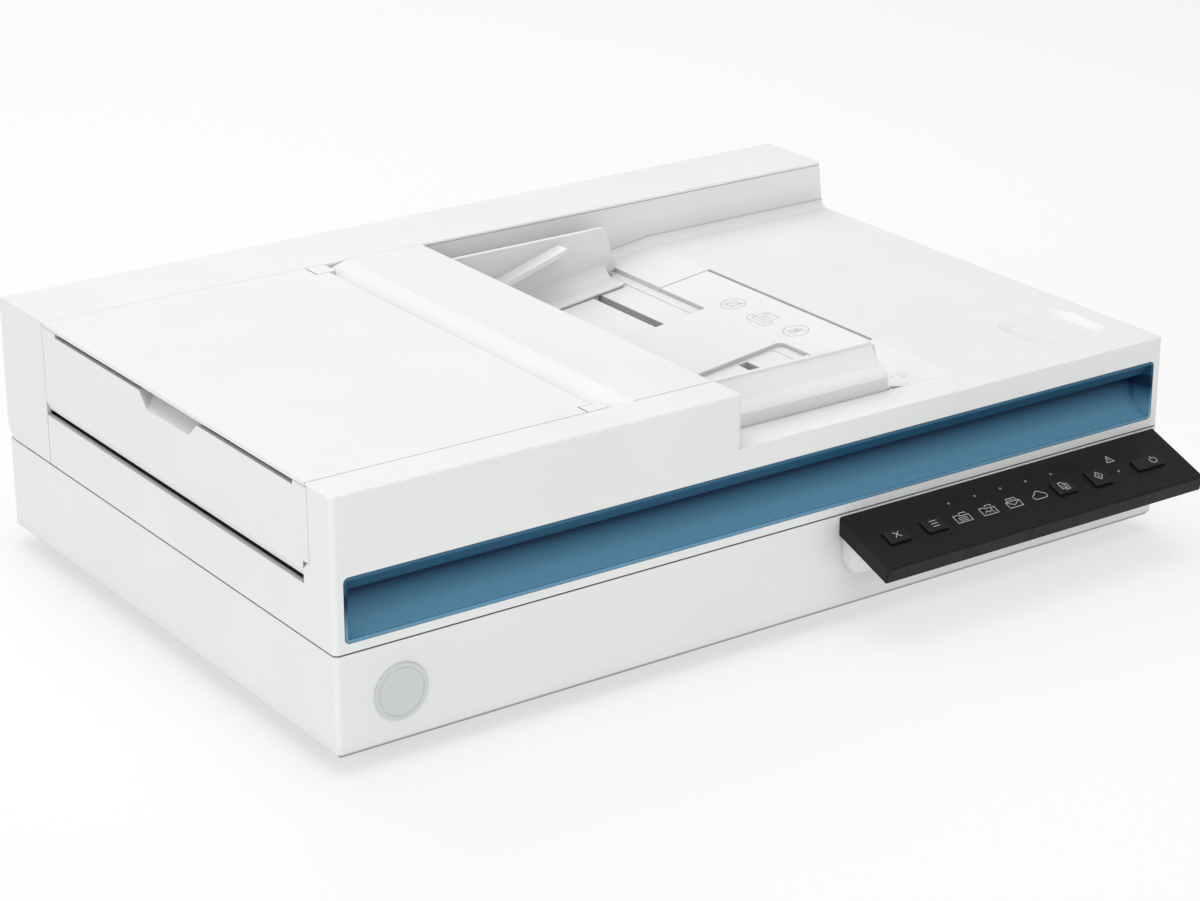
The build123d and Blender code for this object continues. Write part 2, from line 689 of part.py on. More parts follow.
def make_rear_cover():
    outer = block(0, WIDTH, SPINE_Y, DEPTH, LID_BOTTOM, HEIGHT)
    rear_low = outer.edges().filter_by(Axis.X).group_by(Axis.Z)[0].sort_by(Axis.Y)[-1]
    outer = fillet(rear_low, HINGE_REAR_R)
    outer = fillet(outer.edges().filter_by(Axis.X).group_by(Axis.Z)[-1], 1.2)
    draft = [(WIDTH, PLATEAU_Z), (WIDTH + 5, PLATEAU_Z)]
    draft += [(WIDTH + 5, HEIGHT + 1), (WIDTH - SPINE_DRAFT, HEIGHT + 1)]
    outer -= prism_y(draft, SPINE_Y - 1, DEPTH + 1)

    skin = WALL - 0.2
    inner = block(skin, WIDTH - skin, SPINE_Y + skin, DEPTH - skin, LID_BOTTOM + skin, HEIGHT - skin)
    corner = inner.edges().filter_by(Axis.X).group_by(Axis.Z)[0].sort_by(Axis.Y)[-1]
    inner = fillet(corner, HINGE_REAR_R - skin)
    inner &= block(0, WIDTH - skin - SPINE_DRAFT, 0, DEPTH, 0, HEIGHT)
    shell = outer - inner
    shell -= block(skin, WIDTH - skin, SPINE_Y - 1, 283.8, LID_BOTTOM - 1, LID_BOTTOM + skin + 0.1)
    shell -= block(skin, FEEDER_X - skin, SPINE_Y - 1, SPINE_Y + skin + 0.1, LID_BOTTOM - 1, HEIGHT - skin)
    shell -= block(FEEDER_X, WIDTH + 1, SPINE_Y - 1, SPINE_Y + 0.35, 120.2, 120.6)
    for x in HINGE_XS:
        reach = LEG_HALF_X + 0.6
        shell -= block(x - reach, x + reach, HINGE_Y - 6.8, DEPTH + 1, LID_BOTTOM - 1, 69.5)
    return shell


def scoop_outline(grow):
    upper = [(106.8 - grow, 120.0), (162.6 + grow, 120.0)]
    return upper + [(153.9 + grow, 111.4 - grow), (116.7 - grow, 111.4 - grow)]


def make_exit_panel():
    top = HEIGHT - COVER_T - 2.2
    high = HEIGHT - COVER_T - GAP
    low = PATH_Z + 2.5
    skin = 2.2
    panel = block(0, skin, COVER_Y[0] + GAP, SPINE_Y - 0.2, low, top)
    panel += block(0, skin, 18.1, COVER_Y[0] - GAP, 87.6, 120.7 - GAP)
    panel += block(0, skin, 18.1, 29.3, 87.6, high)
    panel += block(0, skin, 242.0, SPINE_Y - 0.2, top - 1, high)
    inside = (FRAME_Y[0] + FRAME_WALL + 0.6, FRAME_Y[1] - FRAME_WALL - 0.6)
    panel += block(skin - 0.1, 12.0, *inside, top - 13.0, top - 11.0)
    lip = [(-0.1, low - 0.1), (-0.1, low + 4.1), (0, low + 4.1), (1.6, low), (1.6, low - 0.1)]
    panel -= prism_y(lip, COVER_Y[0], SPINE_Y)
    panel -= block(-1, skin + 1, COVER_Y[0], EXIT_END, low - 1, PANEL_NOTCH_Z)
    backing = prism_y([(0, 109.2), (12.0, top - 0.2), (0, top - 0.2)], 90, 180)
    panel += backing & prism_x(scoop_outline(1.5), 0, 20)
    scoop = prism_y([(-1, 111.4 - 0.75), (0, 111.4), (9.0, top + 0.01), (-1, top + 0.01)], 90, 180)
    return panel - (scoop & prism_x(scoop_outline(0), -5, 20))


# ---- feeder covers
def make_feeder_bridge():
    left = LUG_X[1] - 1.3
    right = FEEDER_X
    y0 = BAND_Y + 0.4
    y1 = SPINE_Y - 0.3
    top = [
        (left, 104.0),
        (left, 118.5),
        (159.8, HEIGHT),
        (right - 1.5, HEIGHT),
        (right, HEIGHT - 1.5),
        (right, 118.4),
        (right - 2.0, 118.4),
        (right - 2.4, 119.4),
        (160.5, 119.4),
        (left + 2.4, 116.3),
        (left + 2.4, 104.0),
    ]
    bridge = prism_y(top, y0, y1)
    skirts = [(left, 84.0), (left, 118.0), (158.0, 120.5), (right - 2.0, 120.5), (right - 2.0, 84.0)]
    bridge += prism_y(skirts, y0, y0 + 2.0)
    bridge += prism_y(skirts, y1 - 2.0, y1)
    for y_low, y_high in (LUG_FRONT, LUG_REAR):
        bridge += block(LUG_X[0], LUG_X[1], y_low, y_high, 115.4, HEIGHT)
        bridge -= bar_y(COVER_HINGE_X, COVER_HINGE_Z, COVER_PIN_R, y_low - 1, y_high + 1)
    return bridge


def make_feeder_cover():
    y0, y1 = COVER_Y
    low = HEIGHT - COVER_T
    cover = block(0, COVER_HINGE_X, y0, y1, low, HEIGHT)
    notch = GAP + 0.1
    for y_low, y_high in ((y0 - 1, LUG_FRONT[1] + notch), (LUG_REAR[0] - notch, y1 + 1)):
        cover -= block(LUG_X[0] - LUG_SWING, COVER_HINGE_X + 1, y_low, y_high, low - 1, HEIGHT + 1)
    nose_y = (LUG_FRONT[1] + notch, LUG_REAR[0] - notch)
    cover += bar_y(COVER_HINGE_X, COVER_HINGE_Z, NOSE_R, *nose_y)
    cover += block(LUG_X[0], COVER_HINGE_X, *nose_y, COVER_HINGE_Z - 1.5, HEIGHT)
    for y in (36.0, 86.0, 136.0, 186.0, 236.0):
        cover += block(16.0, 137.0, y, y + 1.6, low - 2.6, low + 0.2)
    for x in (16.0, 76.0, 126.0):
        cover += block(x, x + 1.6, 36.0, 237.6, low - 2.6, low + 0.2)
    return cover - bar_y(COVER_HINGE_X, COVER_HINGE_Z, COVER_PIN_R + RUN, *nose_y)


def make_cover_hinge_pins():
    front = bar_y(COVER_HINGE_X, COVER_HINGE_Z, COVER_PIN_R, LUG_FRONT[0] + 1, LUG_FRONT[1] + 8)
    rear = bar_y(COVER_HINGE_X, COVER_HINGE_Z, COVER_PIN_R, LUG_REAR[0] - 8, LUG_REAR[1] - 1)
    return [front, rear]


# ---- paper guides
def guide_floor(lift):
    """Everything lower than a running clearance over the floor that a guide slides on."""
    outline = [
        (150, 40),
        (150, path_z(150) + lift),
        (FEEDER_X, tray_z(FEEDER_X) + lift),
        (GUIDE_RIGHT + 20, tray_z(GUIDE_RIGHT + 20) + lift),
        (GUIDE_RIGHT + 20, 40),
    ]
    return prism_y(outline, -20, 300)


def guide_cove(inner):
    """The concave strip between the guide's wall and its foot, along the slope."""
    z = tray_z(FOOT_X[0]) - RECESS_DEPTH + 1.15
    x = FOOT_X[0]
    bend = (1 - sin(radians(45))) * GUIDE_COVE_R
    high = (x, inner - 0.1, z + GUIDE_COVE_R)
    low = (x, inner + GUIDE_COVE_R, z)
    arc = Edge.make_three_point_arc(high, (x, inner + bend, z + bend), low)
    foot = (x, inner + GUIDE_COVE_R, z - 0.4)
    heel = (x, inner - 0.1, z - 0.4)
    sides = [Edge.make_line(low, foot), Edge.make_line(foot, heel), Edge.make_line(heel, high)]
    section = Face(Wire([arc] + sides))
    run = Vector(FOOT_X[1] - 1.0 - x, 0, TRAY_SLOPE * (FOOT_X[1] - 1.0 - x))
    return extrude(section, amount=run.length, dir=run)


def make_guide_body():
    """The front guide's upright wall, rolled outer side, foot and stack height rib."""
    inner = GUIDE_MID - GUIDE_INNER
    outer = GUIDE_MID - GUIDE_OUTER
    wall_outline = [
        (GUIDE_LEFT, 74.0),
        (GUIDE_LEFT, GUIDE_TOP - 6),
        (GUIDE_LEFT + 6, GUIDE_TOP),
        (GUIDE_RIGHT - 3.5, GUIDE_TOP),
        (GUIDE_RIGHT - 0.8, GUIDE_TOP - 1.6),
        (GUIDE_RIGHT + 3.3, 97.7),
        (GUIDE_RIGHT + 4.4, 90.0),
        (GUIDE_RIGHT + 4.4, 74.0),
    ]
    wall = prism_y(wall_outline, inner - 2.4, inner)

    start = (inner - 0.2, GUIDE_TOP)
    waist = (25.6, 108.0)
    shoulder = (outer, 103.4)
    x0 = FEEDER_X + 1.0
    x1 = GUIDE_RIGHT - 2.4
    lines = [
        Edge.make_line((x0, *start), (x0, inner - 1.6, GUIDE_TOP)),
        Edge.make_three_point_arc((x0, inner - 1.6, GUIDE_TOP), (x0, 29.3, 111.9), (x0, *waist)),
        Edge.make_three_point_arc((x0, *waist), (x0, 21.6, 106.1), (x0, *shoulder)),
        Edge.make_line((x0, *shoulder), (x0, outer, 74.0)),
        Edge.make_line((x0, outer, 74.0), (x0, inner - 0.2, 74.0)),
        Edge.make_line((x0, inner - 0.2, 74.0), (x0, *start)),
    ]
    roll = extrude(Face(Wire(lines)), amount=x1 - x0, dir=(1, 0, 0))
    roll -= block(x0 + 1.8, x1 - 1.8, outer + 1.8, inner - 2.4, 70, 102.0)
    body = wall + roll - guide_floor(0.3)

    foot = sloped_slab(*FOOT_X, inner - 1, inner + FOOT_REACH, RECESS_DEPTH - 1.2, RECESS_DEPTH - 0.3)
    web = sloped_slab(FOOT_X[0], FOOT_X[1], inner - 1.2, inner, -1.5, RECESS_DEPTH - 0.3)
    foot = fillet(foot.edges().filter_by(Axis.Z).group_by(Axis.X)[-1].sort_by(Axis.Y)[-1], 3.0)
    body += foot + web + guide_cove(inner)

    rib_low = (212.0, 95.1)
    rib_high = (271.5, 113.0)
    rib = [rib_low, rib_high, (rib_high[0] + 1.0, rib_high[1] - 2.4), (rib_low[0] + 1.0, rib_low[1] - 2.4)]
    return body + prism_y(rib, inner - 0.5, inner + 8.8)


def make_rack():
    """Rack of the front guide, on the right of the pinion, with its arm and neck."""
    pitch_x = PINION_X + PINION_TEETH / 2
    root_x = pitch_x + 1.15
    back_x = root_x + 4.0
    y0 = 38.0
    y1 = 156.0
    bar = block(root_x, back_x, y0, y1, *RACK_Z)
    half_root = 0.20 * pi + 1.15 * tan(radians(20))
    half_tip = 0.20 * pi - 0.8 * tan(radians(20))
    first = GUIDE_MID + pi / 2 - 10 * pi
    teeth = []
    for step in range(16):
        y = first + step * pi
        tip_x = pitch_x - 0.8
        outline = [
            (root_x + 0.2, y - half_root),
            (root_x, y - half_root),
            (tip_x, y - half_tip),
            (tip_x, y + half_tip),
            (root_x, y + half_root),
            (root_x + 0.2, y + half_root),
        ]
        teeth.append(prism_z(outline, *RACK_Z))
    arm = block(SLOT_X[0] + 0.5, back_x, 39.0, 49.0, *RACK_Z)
    neck = block(SLOT_X[0] + 0.5, SLOT_X[1] - 0.5, 39.0, 49.0, RACK_Z[0], tray_z(PINION_X) - 1.6)
    return join([bar] + teeth + [arm, neck])


def make_front_guide():
    return make_guide_body() + make_rack()


def make_rear_guide():
    half_turn = Pos(PINION_X, GUIDE_MID, 0) * Rot(0, 0, 180) * Pos(-PINION_X, -GUIDE_MID, 0)
    return mirror_guide(make_guide_body()) + half_turn * make_rack()


def make_guide_pinion():
    outline = [(PINION_X + u, GUIDE_MID + v) for u, v in gear_outline(PINION_TEETH)]
    return prism_z(outline, *RACK_Z) - post(PINION_X, GUIDE_MID, 2.0 + RUN, 70, 90)


# ---- feeder frame and paper path
def cross_windows(x, half_x, spans, z0, z1):
    return [block(x - half_x, x + half_x, y0, y1, z0, z1) for y0, y1 in spans]


def roll_windows(x, half_x, z0, z1):
    """Windows round the two rolls of a driven roller or its idlers."""
    return cross_windows(x, half_x, [(y0 - 1.5, y1 + 1.5) for y0, y1 in ROLL_YS], z0, z1)


def make_feeder_frame():
    low = LID_BOTTOM + 2.2
    y0, y1 = FRAME_Y
    t = GUIDE_PLATE_T
    outline = [
        (2.6, PATH_Z),
        (LEVEL_X, PATH_Z),
        (FEEDER_X - 0.2, path_z(FEEDER_X - 0.2)),
        (FEEDER_X - 0.2, path_z(FEEDER_X - 0.2) - t),
        (LEVEL_X, PATH_Z - t),
        (2.6, PATH_Z - t),
    ]
    frame = prism_y(outline, y0, y1)
    frame += block(146.0, FEEDER_X - 0.2, BAND_Y + 0.4, y0 + 1, PATH_Z - t + 1, PATH_Z)
    for y in (y0, y1 - FRAME_WALL):
        frame += block(6.0, 142.0, y, y + FRAME_WALL, low, 112.0)
        frame += block(140.0, FEEDER_X - 4, y, y + FRAME_WALL, low, PATH_Z - 1)
    for x in (34.0, 148.0, 196.0):
        frame += block(x, x + 2.0, y0, y1, low, PATH_Z - 1)
    for y in (60.0, 136.0, 212.0):
        frame += block(35.0, 58.0, y, y + 2.4, low, 63.0)
    ribs = (MIDDLE_ROLL_Y[0] - 5, MIDDLE_ROLL_Y[1] + 2.6)
    for y in ribs:
        frame += block(FEED_X - 6, FEED_X + 6, y, y + 2.4, low, PATH_Z - 1)
        frame -= bar_y(FEED_X, SEPARATION_Z, 2.5 + RUN, y - 1, y + 3.4)
    windows = [block(44.4, 59.6, 27.0, 247.0, 63.0, 80.0)]
    windows.append(block(FEED_X - 9.5, FEED_X + 9.5, ribs[0] + 2.4, ribs[1], 74.0, 80.0))
    windows += roll_windows(DRIVE_X, DRIVE_R + 1.5, 74.0, 80.0)
    windows += roll_windows(EXIT_X, DRIVE_R + 1.5, 74.0, 80.0)
    for window in windows:
        frame -= window
    for x, z in ((FEED_X, FEED_Z), (DRIVE_X, DRIVE_Z), (EXIT_X, DRIVE_Z)):
        frame -= bar_y(x, z, SHAFT_R + RUN, y0 - 1, y1 + 1)
    return frame


def make_upper_paper_guide():
    y0 = FRAME_Y[0] + FRAME_WALL
    y1 = FRAME_Y[1] - FRAME_WALL
    low = PATH_Z + 2.2
    guide = block(6.0, 118.0, y0, y1, low, low + 1.8)
    guide -= block(FEED_X - 12, 119.0, MIDDLE_ROLL_Y[0] - 5, MIDDLE_ROLL_Y[1] + 5, low - 1, low + 3)
    guide -= block(26.4, 41.6, 27.6, 246.4, low - 1, low + 3)
    for x, z, radius in ((DRIVE_X, DRIVE_IDLER_Z, DRIVE_IDLER_R), (EXIT_X, EXIT_IDLER_Z, EXIT_IDLER_R)):
        for window in roll_windows(x, radius + 1.5, low - 1, low + 3):
            guide -= window
        for y in (ROLL_YS[0][1] + 4, ROLL_YS[1][0] - 6.4):
            guide += block(x - 4, x + 4, y, y + 2.4, low + 1, z + 4.5)
        guide -= bar_y(x, z, 2.0 + RUN, y0, y1)
    return guide


def make_gear_side_plate():
    y0, y1 = SIDE_PLATE_Y
    outline = [(8, 57), (130, 57), (130, 96), (112, 114), (8, 114)]
    plate = prism_y(outline, y0, y1)
    for x, z in ((13.0, 106.0), (44.0, 108.0), (126.5, 61.5), (36.0, 60.2)):
        plate += bar_y(x, z, 2.5, FRAME_Y[1], y0 + 0.5)
    for x, z in ((FEED_X, FEED_Z), (DRIVE_X, DRIVE_Z), (EXIT_X, DRIVE_Z)):
        plate -= bar_y(x, z, SHAFT_R + RUN, y0 - 1, y1 + 1)
    return plate - bar_y(MOTOR_PINION_X, MOTOR_PINION_Z, 5.3, y0 - 1, y1 + 1)


def make_pick_arm():
    """Two cheeks that hang on the feed shaft, with a cover over them."""
    y0 = MIDDLE_ROLL_Y[0] - 4.4
    y1 = MIDDLE_ROLL_Y[1] + 2.0
    arm = []
    for y in (y0, y1):
        cheek = bar_y(FEED_X, FEED_Z, 6.5, y, y + 2.4) + bar_y(PICK_X, PICK_Z, 5.0, y, y + 2.4)
        cheek += block(FEED_X, PICK_X, y, y + 2.4, PICK_Z - 3, FEED_Z + 6.5)
        arm.append(cheek)
    arm.append(block(FEED_X + 0.5, PICK_X, y0, y1 + 2.4, FEED_Z + 10.6, FEED_Z + 12.4))
    for y in (y0, y1):
        arm.append(block(FEED_X + 0.5, PICK_X, y, y + 2.4, FEED_Z + 5, FEED_Z + 12.4))
    body = join(arm)
    body -= bar_y(FEED_X, FEED_Z, SHAFT_R + RUN, y0 - 1, y1 + 4)
    return body - bar_y(PICK_X, PICK_Z, 2.5 + RUN, y0 - 1, y1 + 4)


def make_pick_roller():
    y0, y1 = MIDDLE_ROLL_Y
    shaft = bar_y(PICK_X, PICK_Z, 2.5, y0 - 4.4, y1 + 4.4)
    return shaft + bar_y(PICK_X, PICK_Z, PICK_R, y0, y1)


def make_feed_roller_shaft():
    return bar_y(FEED_X, FEED_Z, SHAFT_R, FRAME_Y[0] - 0.8, SIDE_PLATE_Y[1])


def make_feed_roller_tyre():
    y0, y1 = MIDDLE_ROLL_Y
    tyre = bar_y(FEED_X, FEED_Z, FEED_R, y0, y1) - bar_y(FEED_X, FEED_Z, SHAFT_R, y0 - 1, y1 + 1)
    for y in (y0 + 8, y0 + 16, y0 + 23.2, y0 + 31.2):
        ring = bar_y(FEED_X, FEED_Z, FEED_R + 1, y, y + 0.8)
        tyre -= ring - bar_y(FEED_X, FEED_Z, FEED_R - 0.6, y - 1, y + 2)
    return tyre


def mesh_angle(x_from, z_from, x_to, z_to):
    return atan2(z_to - z_from, x_to - x_from)


def make_drive_gear():
    """Its teeth set the phase of the two gears it meets: one tooth points at the feed gear."""
    turn = mesh_angle(DRIVE_X, DRIVE_Z, FEED_X, FEED_Z)
    gear = gear_y(DRIVE_X, DRIVE_Z, DRIVE_TEETH, *GEAR_Y, turn)
    gear += bar_y(DRIVE_X, DRIVE_Z, PULLEY_R, PULLEY_Y[0], GEAR_Y[0] + 0.1)
    return gear - bar_y(DRIVE_X, DRIVE_Z, SHAFT_R, PULLEY_Y[0] - 1, GEAR_Y[1] + 1)


def make_feed_gear():
    """A gap between two teeth points at the drive gear."""
    turn = mesh_angle(FEED_X, FEED_Z, DRIVE_X, DRIVE_Z) + pi / FEED_TEETH
    gear = gear_y(FEED_X, FEED_Z, FEED_TEETH, *GEAR_Y, turn)
    return gear - bar_y(FEED_X, FEED_Z, SHAFT_R, GEAR_Y[0] - 1, GEAR_Y[1] + 1)


def make_motor_pinion():
    """Turned so that it meets the drive gear with a gap where the drive gear has a tooth."""
    drive_turn = mesh_angle(DRIVE_X, DRIVE_Z, FEED_X, FEED_Z)
    towards_motor = mesh_angle(DRIVE_X, DRIVE_Z, MOTOR_PINION_X, MOTOR_PINION_Z)
    drive_phase = (towards_motor - drive_turn) * DRIVE_TEETH / (2 * pi)
    turn = towards_motor + pi + (drive_phase + 0.5) * 2 * pi / PINION_MOTOR_TEETH
    gear = gear_y(MOTOR_PINION_X, MOTOR_PINION_Z, PINION_MOTOR_TEETH, *GEAR_Y, turn)
    return gear + bar_y(MOTOR_PINION_X, MOTOR_PINION_Z, 1.5, GEAR_Y[1] - 1, SIDE_PLATE_Y[1] + 3)


def make_feeder_motor():
    x = MOTOR_PINION_X
    z = MOTOR_PINION_Z
    y0 = SIDE_PLATE_Y[1]
    body = bar_y(x, z, 16.0, y0 + 1.2, y0 + 21.0)
    flange = block(x - 21, x + 21, y0, y0 + 1.2, z - 8, z + 8) + bar_y(x, z, 16.0, y0, y0 + 1.3)
    return body + flange - bar_y(x, z, 1.6, y0 - 1, y0 + 3.2)


def make_separation_roller():
    y0, y1 = MIDDLE_ROLL_Y
    shaft = bar_y(FEED_X, SEPARATION_Z, 2.5, y0 - 5.0, y1 + 5.0)
    return shaft + bar_y(FEED_X, SEPARATION_Z, SEPARATION_R, y0 + 4, y1 - 4)


def make_rolls_shaft(x, z, roll_r, shaft_r, y0, y1):
    solid = bar_y(x, z, shaft_r, y0, y1)
    for a, b in ROLL_YS:
        solid += bar_y(x, z, roll_r, a, b)
    return solid


def make_drive_roller():
    return make_rolls_shaft(DRIVE_X, DRIVE_Z, DRIVE_R, SHAFT_R, FRAME_Y[0] - 0.8, SIDE_PLATE_Y[1])


def make_exit_roller():
    roller = make_rolls_shaft(EXIT_X, DRIVE_Z, DRIVE_R, SHAFT_R, FRAME_Y[0] - 0.8, SIDE_PLATE_Y[1])
    return roller + bar_y(EXIT_X, DRIVE_Z, PULLEY_R, *PULLEY_Y)


def make_drive_idlers():
    return make_rolls_shaft(DRIVE_X, DRIVE_IDLER_Z, DRIVE_IDLER_R, 2.0, ROLL_YS[0][0] - 2, ROLL_YS[1][1] + 2)


def make_exit_idlers():
    return make_rolls_shaft(EXIT_X, EXIT_IDLER_Z, EXIT_IDLER_R, 2.0, ROLL_YS[0][0] - 2, ROLL_YS[1][1] + 2)


def make_feeder_image_sensors():
    lower = block(45.0, 59.0, 28.0, 246.0, 63.0, 76.8) + block(48.0, 56.0, 30.0, 244.0, 76.0, PATH_Z - 0.2)
    upper = block(27.0, 41.0, 28.0, 246.0, 79.4, 92.0) + block(30.0, 38.0, 30.0, 244.0, 78.9, 80.0)
    return [lower, upper]


def make_exit_belt():
    middle_y = (PULLEY_Y[0] + PULLEY_Y[1]) / 2
    loop = belt_loop(DRIVE_X - EXIT_X, PULLEY_R + 0.3, 4.0)
    return Pos(EXIT_X, middle_y, DRIVE_Z) * Rot(90, 0, 0) * loop


# ---- all pieces, by node name
makers = {
    "base_housing": make_base_housing,
    "panel_support": make_panel_support,
    "platen_frame": make_platen_frame,
    "platen_glass": lambda: block(*GLASS_X, *GLASS_Y, *GLASS_Z),
    "rubber_feet": make_rubber_feet,
    "housing_screws": make_housing_screws,
    "guide_rod": lambda: bar_x(ROD_Y, ROD_Z, ROD_R, 3.4, 350.0),
    "scan_carriage": make_scan_carriage,
    "flatbed_image_sensor": make_flatbed_sensor,
    "sensor_leaf_springs": make_leaf_springs,
    "carriage_belt": make_carriage_belt,
    "carriage_motor": make_carriage_motor,
    "motor_pulley": lambda: make_pulley(MOTOR_X, 1.5 + RUN),
    "idler_pulley": lambda: make_pulley(IDLER_X, 2.0 + RUN),
    "main_board": make_main_board,
    "usb_port": make_usb_port,
    "power_jack": make_power_jack,
    "control_panel_housing": make_control_panel_housing,
    "control_board": make_control_board,
    "status_lights": make_status_lights,
    "badge": make_badge,
    "hinge_legs": make_hinge_legs,
    "hinge_brackets": make_hinge_brackets,
    "hinge_pins": make_hinge_pins,
    "lid_base": make_lid_base,
    "document_pad": lambda: rounded_block(26, 324, 44, 258, 50.9, LID_BOTTOM, 1.0),
    "lid_housing": make_lid_housing,
    "grip_recess": make_grip_recess,
    "rear_cover": make_rear_cover,
    "exit_panel": make_exit_panel,
    "feeder_bridge": make_feeder_bridge,
    "tray_plate": make_tray_plate,
    "feeder_cover": make_feeder_cover,
    "cover_hinge_pins": make_cover_hinge_pins,
    "front_guide": make_front_guide,
    "rear_guide": make_rear_guide,
    "guide_pinion": make_guide_pinion,
    "feeder_frame": make_feeder_frame,
    "upper_paper_guide": make_upper_paper_guide,
    "gear_side_plate": make_gear_side_plate,
    "pick_arm": make_pick_arm,
    "pick_roller": make_pick_roller,
    "feed_roller_shaft": make_feed_roller_shaft,
    "feed_roller_tyre": make_feed_roller_tyre,
    "feed_gear": make_feed_gear,
    "separation_roller": make_separation_roller,
    "drive_roller": make_drive_roller,
    "drive_gear": make_drive_gear,
    "drive_idlers": make_drive_idlers,
    "exit_roller": make_exit_roller,
    "exit_idlers": make_exit_idlers,
    "feeder_image_sensors": make_feeder_image_sensors,
    "feeder_motor": make_feeder_motor,
    "motor_pinion": make_motor_pinion,
    "exit_belt": make_exit_belt,
}
for name, (x, width, length) in BUTTONS.items():
    pieces[name] = make_button(x, width, length)
for name, maker in makers.items():
    pieces[name] = maker()

# The origin is the middle of the whole object's footprint: the control panel stands out in front.
to_origin = Pos(-WIDTH / 2, -(DEPTH + PANEL_FRONT_Y) / 2, 0)
os.makedirs("parts", exist_ok=True)
for name, piece in pieces.items():
    solids = piece if isinstance(piece, list) else [piece]
    moved = [to_origin * solid for solid in solids]
    export_step(moved[0] if len(moved) == 1 else Compound(children=moved), f"parts/{name}.step")
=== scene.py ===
import json
from math import atan, cos, exp, hypot, radians, sin, sqrt

import bmesh
import bpy
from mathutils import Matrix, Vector


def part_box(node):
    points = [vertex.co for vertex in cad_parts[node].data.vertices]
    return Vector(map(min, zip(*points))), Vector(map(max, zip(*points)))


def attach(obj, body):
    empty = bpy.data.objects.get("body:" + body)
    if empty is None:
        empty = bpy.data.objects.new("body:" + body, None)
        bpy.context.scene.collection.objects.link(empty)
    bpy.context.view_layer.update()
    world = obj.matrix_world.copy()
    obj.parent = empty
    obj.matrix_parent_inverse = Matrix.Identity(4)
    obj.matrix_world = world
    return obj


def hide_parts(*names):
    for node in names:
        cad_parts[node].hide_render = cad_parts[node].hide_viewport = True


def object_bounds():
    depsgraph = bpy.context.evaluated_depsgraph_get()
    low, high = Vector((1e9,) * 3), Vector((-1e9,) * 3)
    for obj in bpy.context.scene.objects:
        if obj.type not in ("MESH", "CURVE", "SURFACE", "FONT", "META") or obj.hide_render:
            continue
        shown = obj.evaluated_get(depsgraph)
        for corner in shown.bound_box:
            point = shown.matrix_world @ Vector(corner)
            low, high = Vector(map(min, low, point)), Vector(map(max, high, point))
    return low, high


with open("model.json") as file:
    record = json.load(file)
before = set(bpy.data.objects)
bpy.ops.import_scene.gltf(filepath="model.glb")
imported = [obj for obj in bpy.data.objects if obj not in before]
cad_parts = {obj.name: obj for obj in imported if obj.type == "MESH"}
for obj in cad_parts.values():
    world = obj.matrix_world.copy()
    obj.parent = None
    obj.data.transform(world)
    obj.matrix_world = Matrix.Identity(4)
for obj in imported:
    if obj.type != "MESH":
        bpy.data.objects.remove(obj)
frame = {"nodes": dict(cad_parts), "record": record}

CAD_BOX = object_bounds()
MM = 0.001

# The corner where the lid's left side meets its front, on the table: lengths below are counted from it.
CORNER = Vector((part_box("lid_housing")[0].x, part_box("lid_housing")[0].y, 0.0))


def at(x, y, z):
    """A point given in millimetres from the front left corner, in the row frame."""
    return CORNER + Vector((x, y, z)) * MM


# ---- materials
# Blender's wave texture with this scale repeats once per metre.
WAVE_SCALE = 0.314159


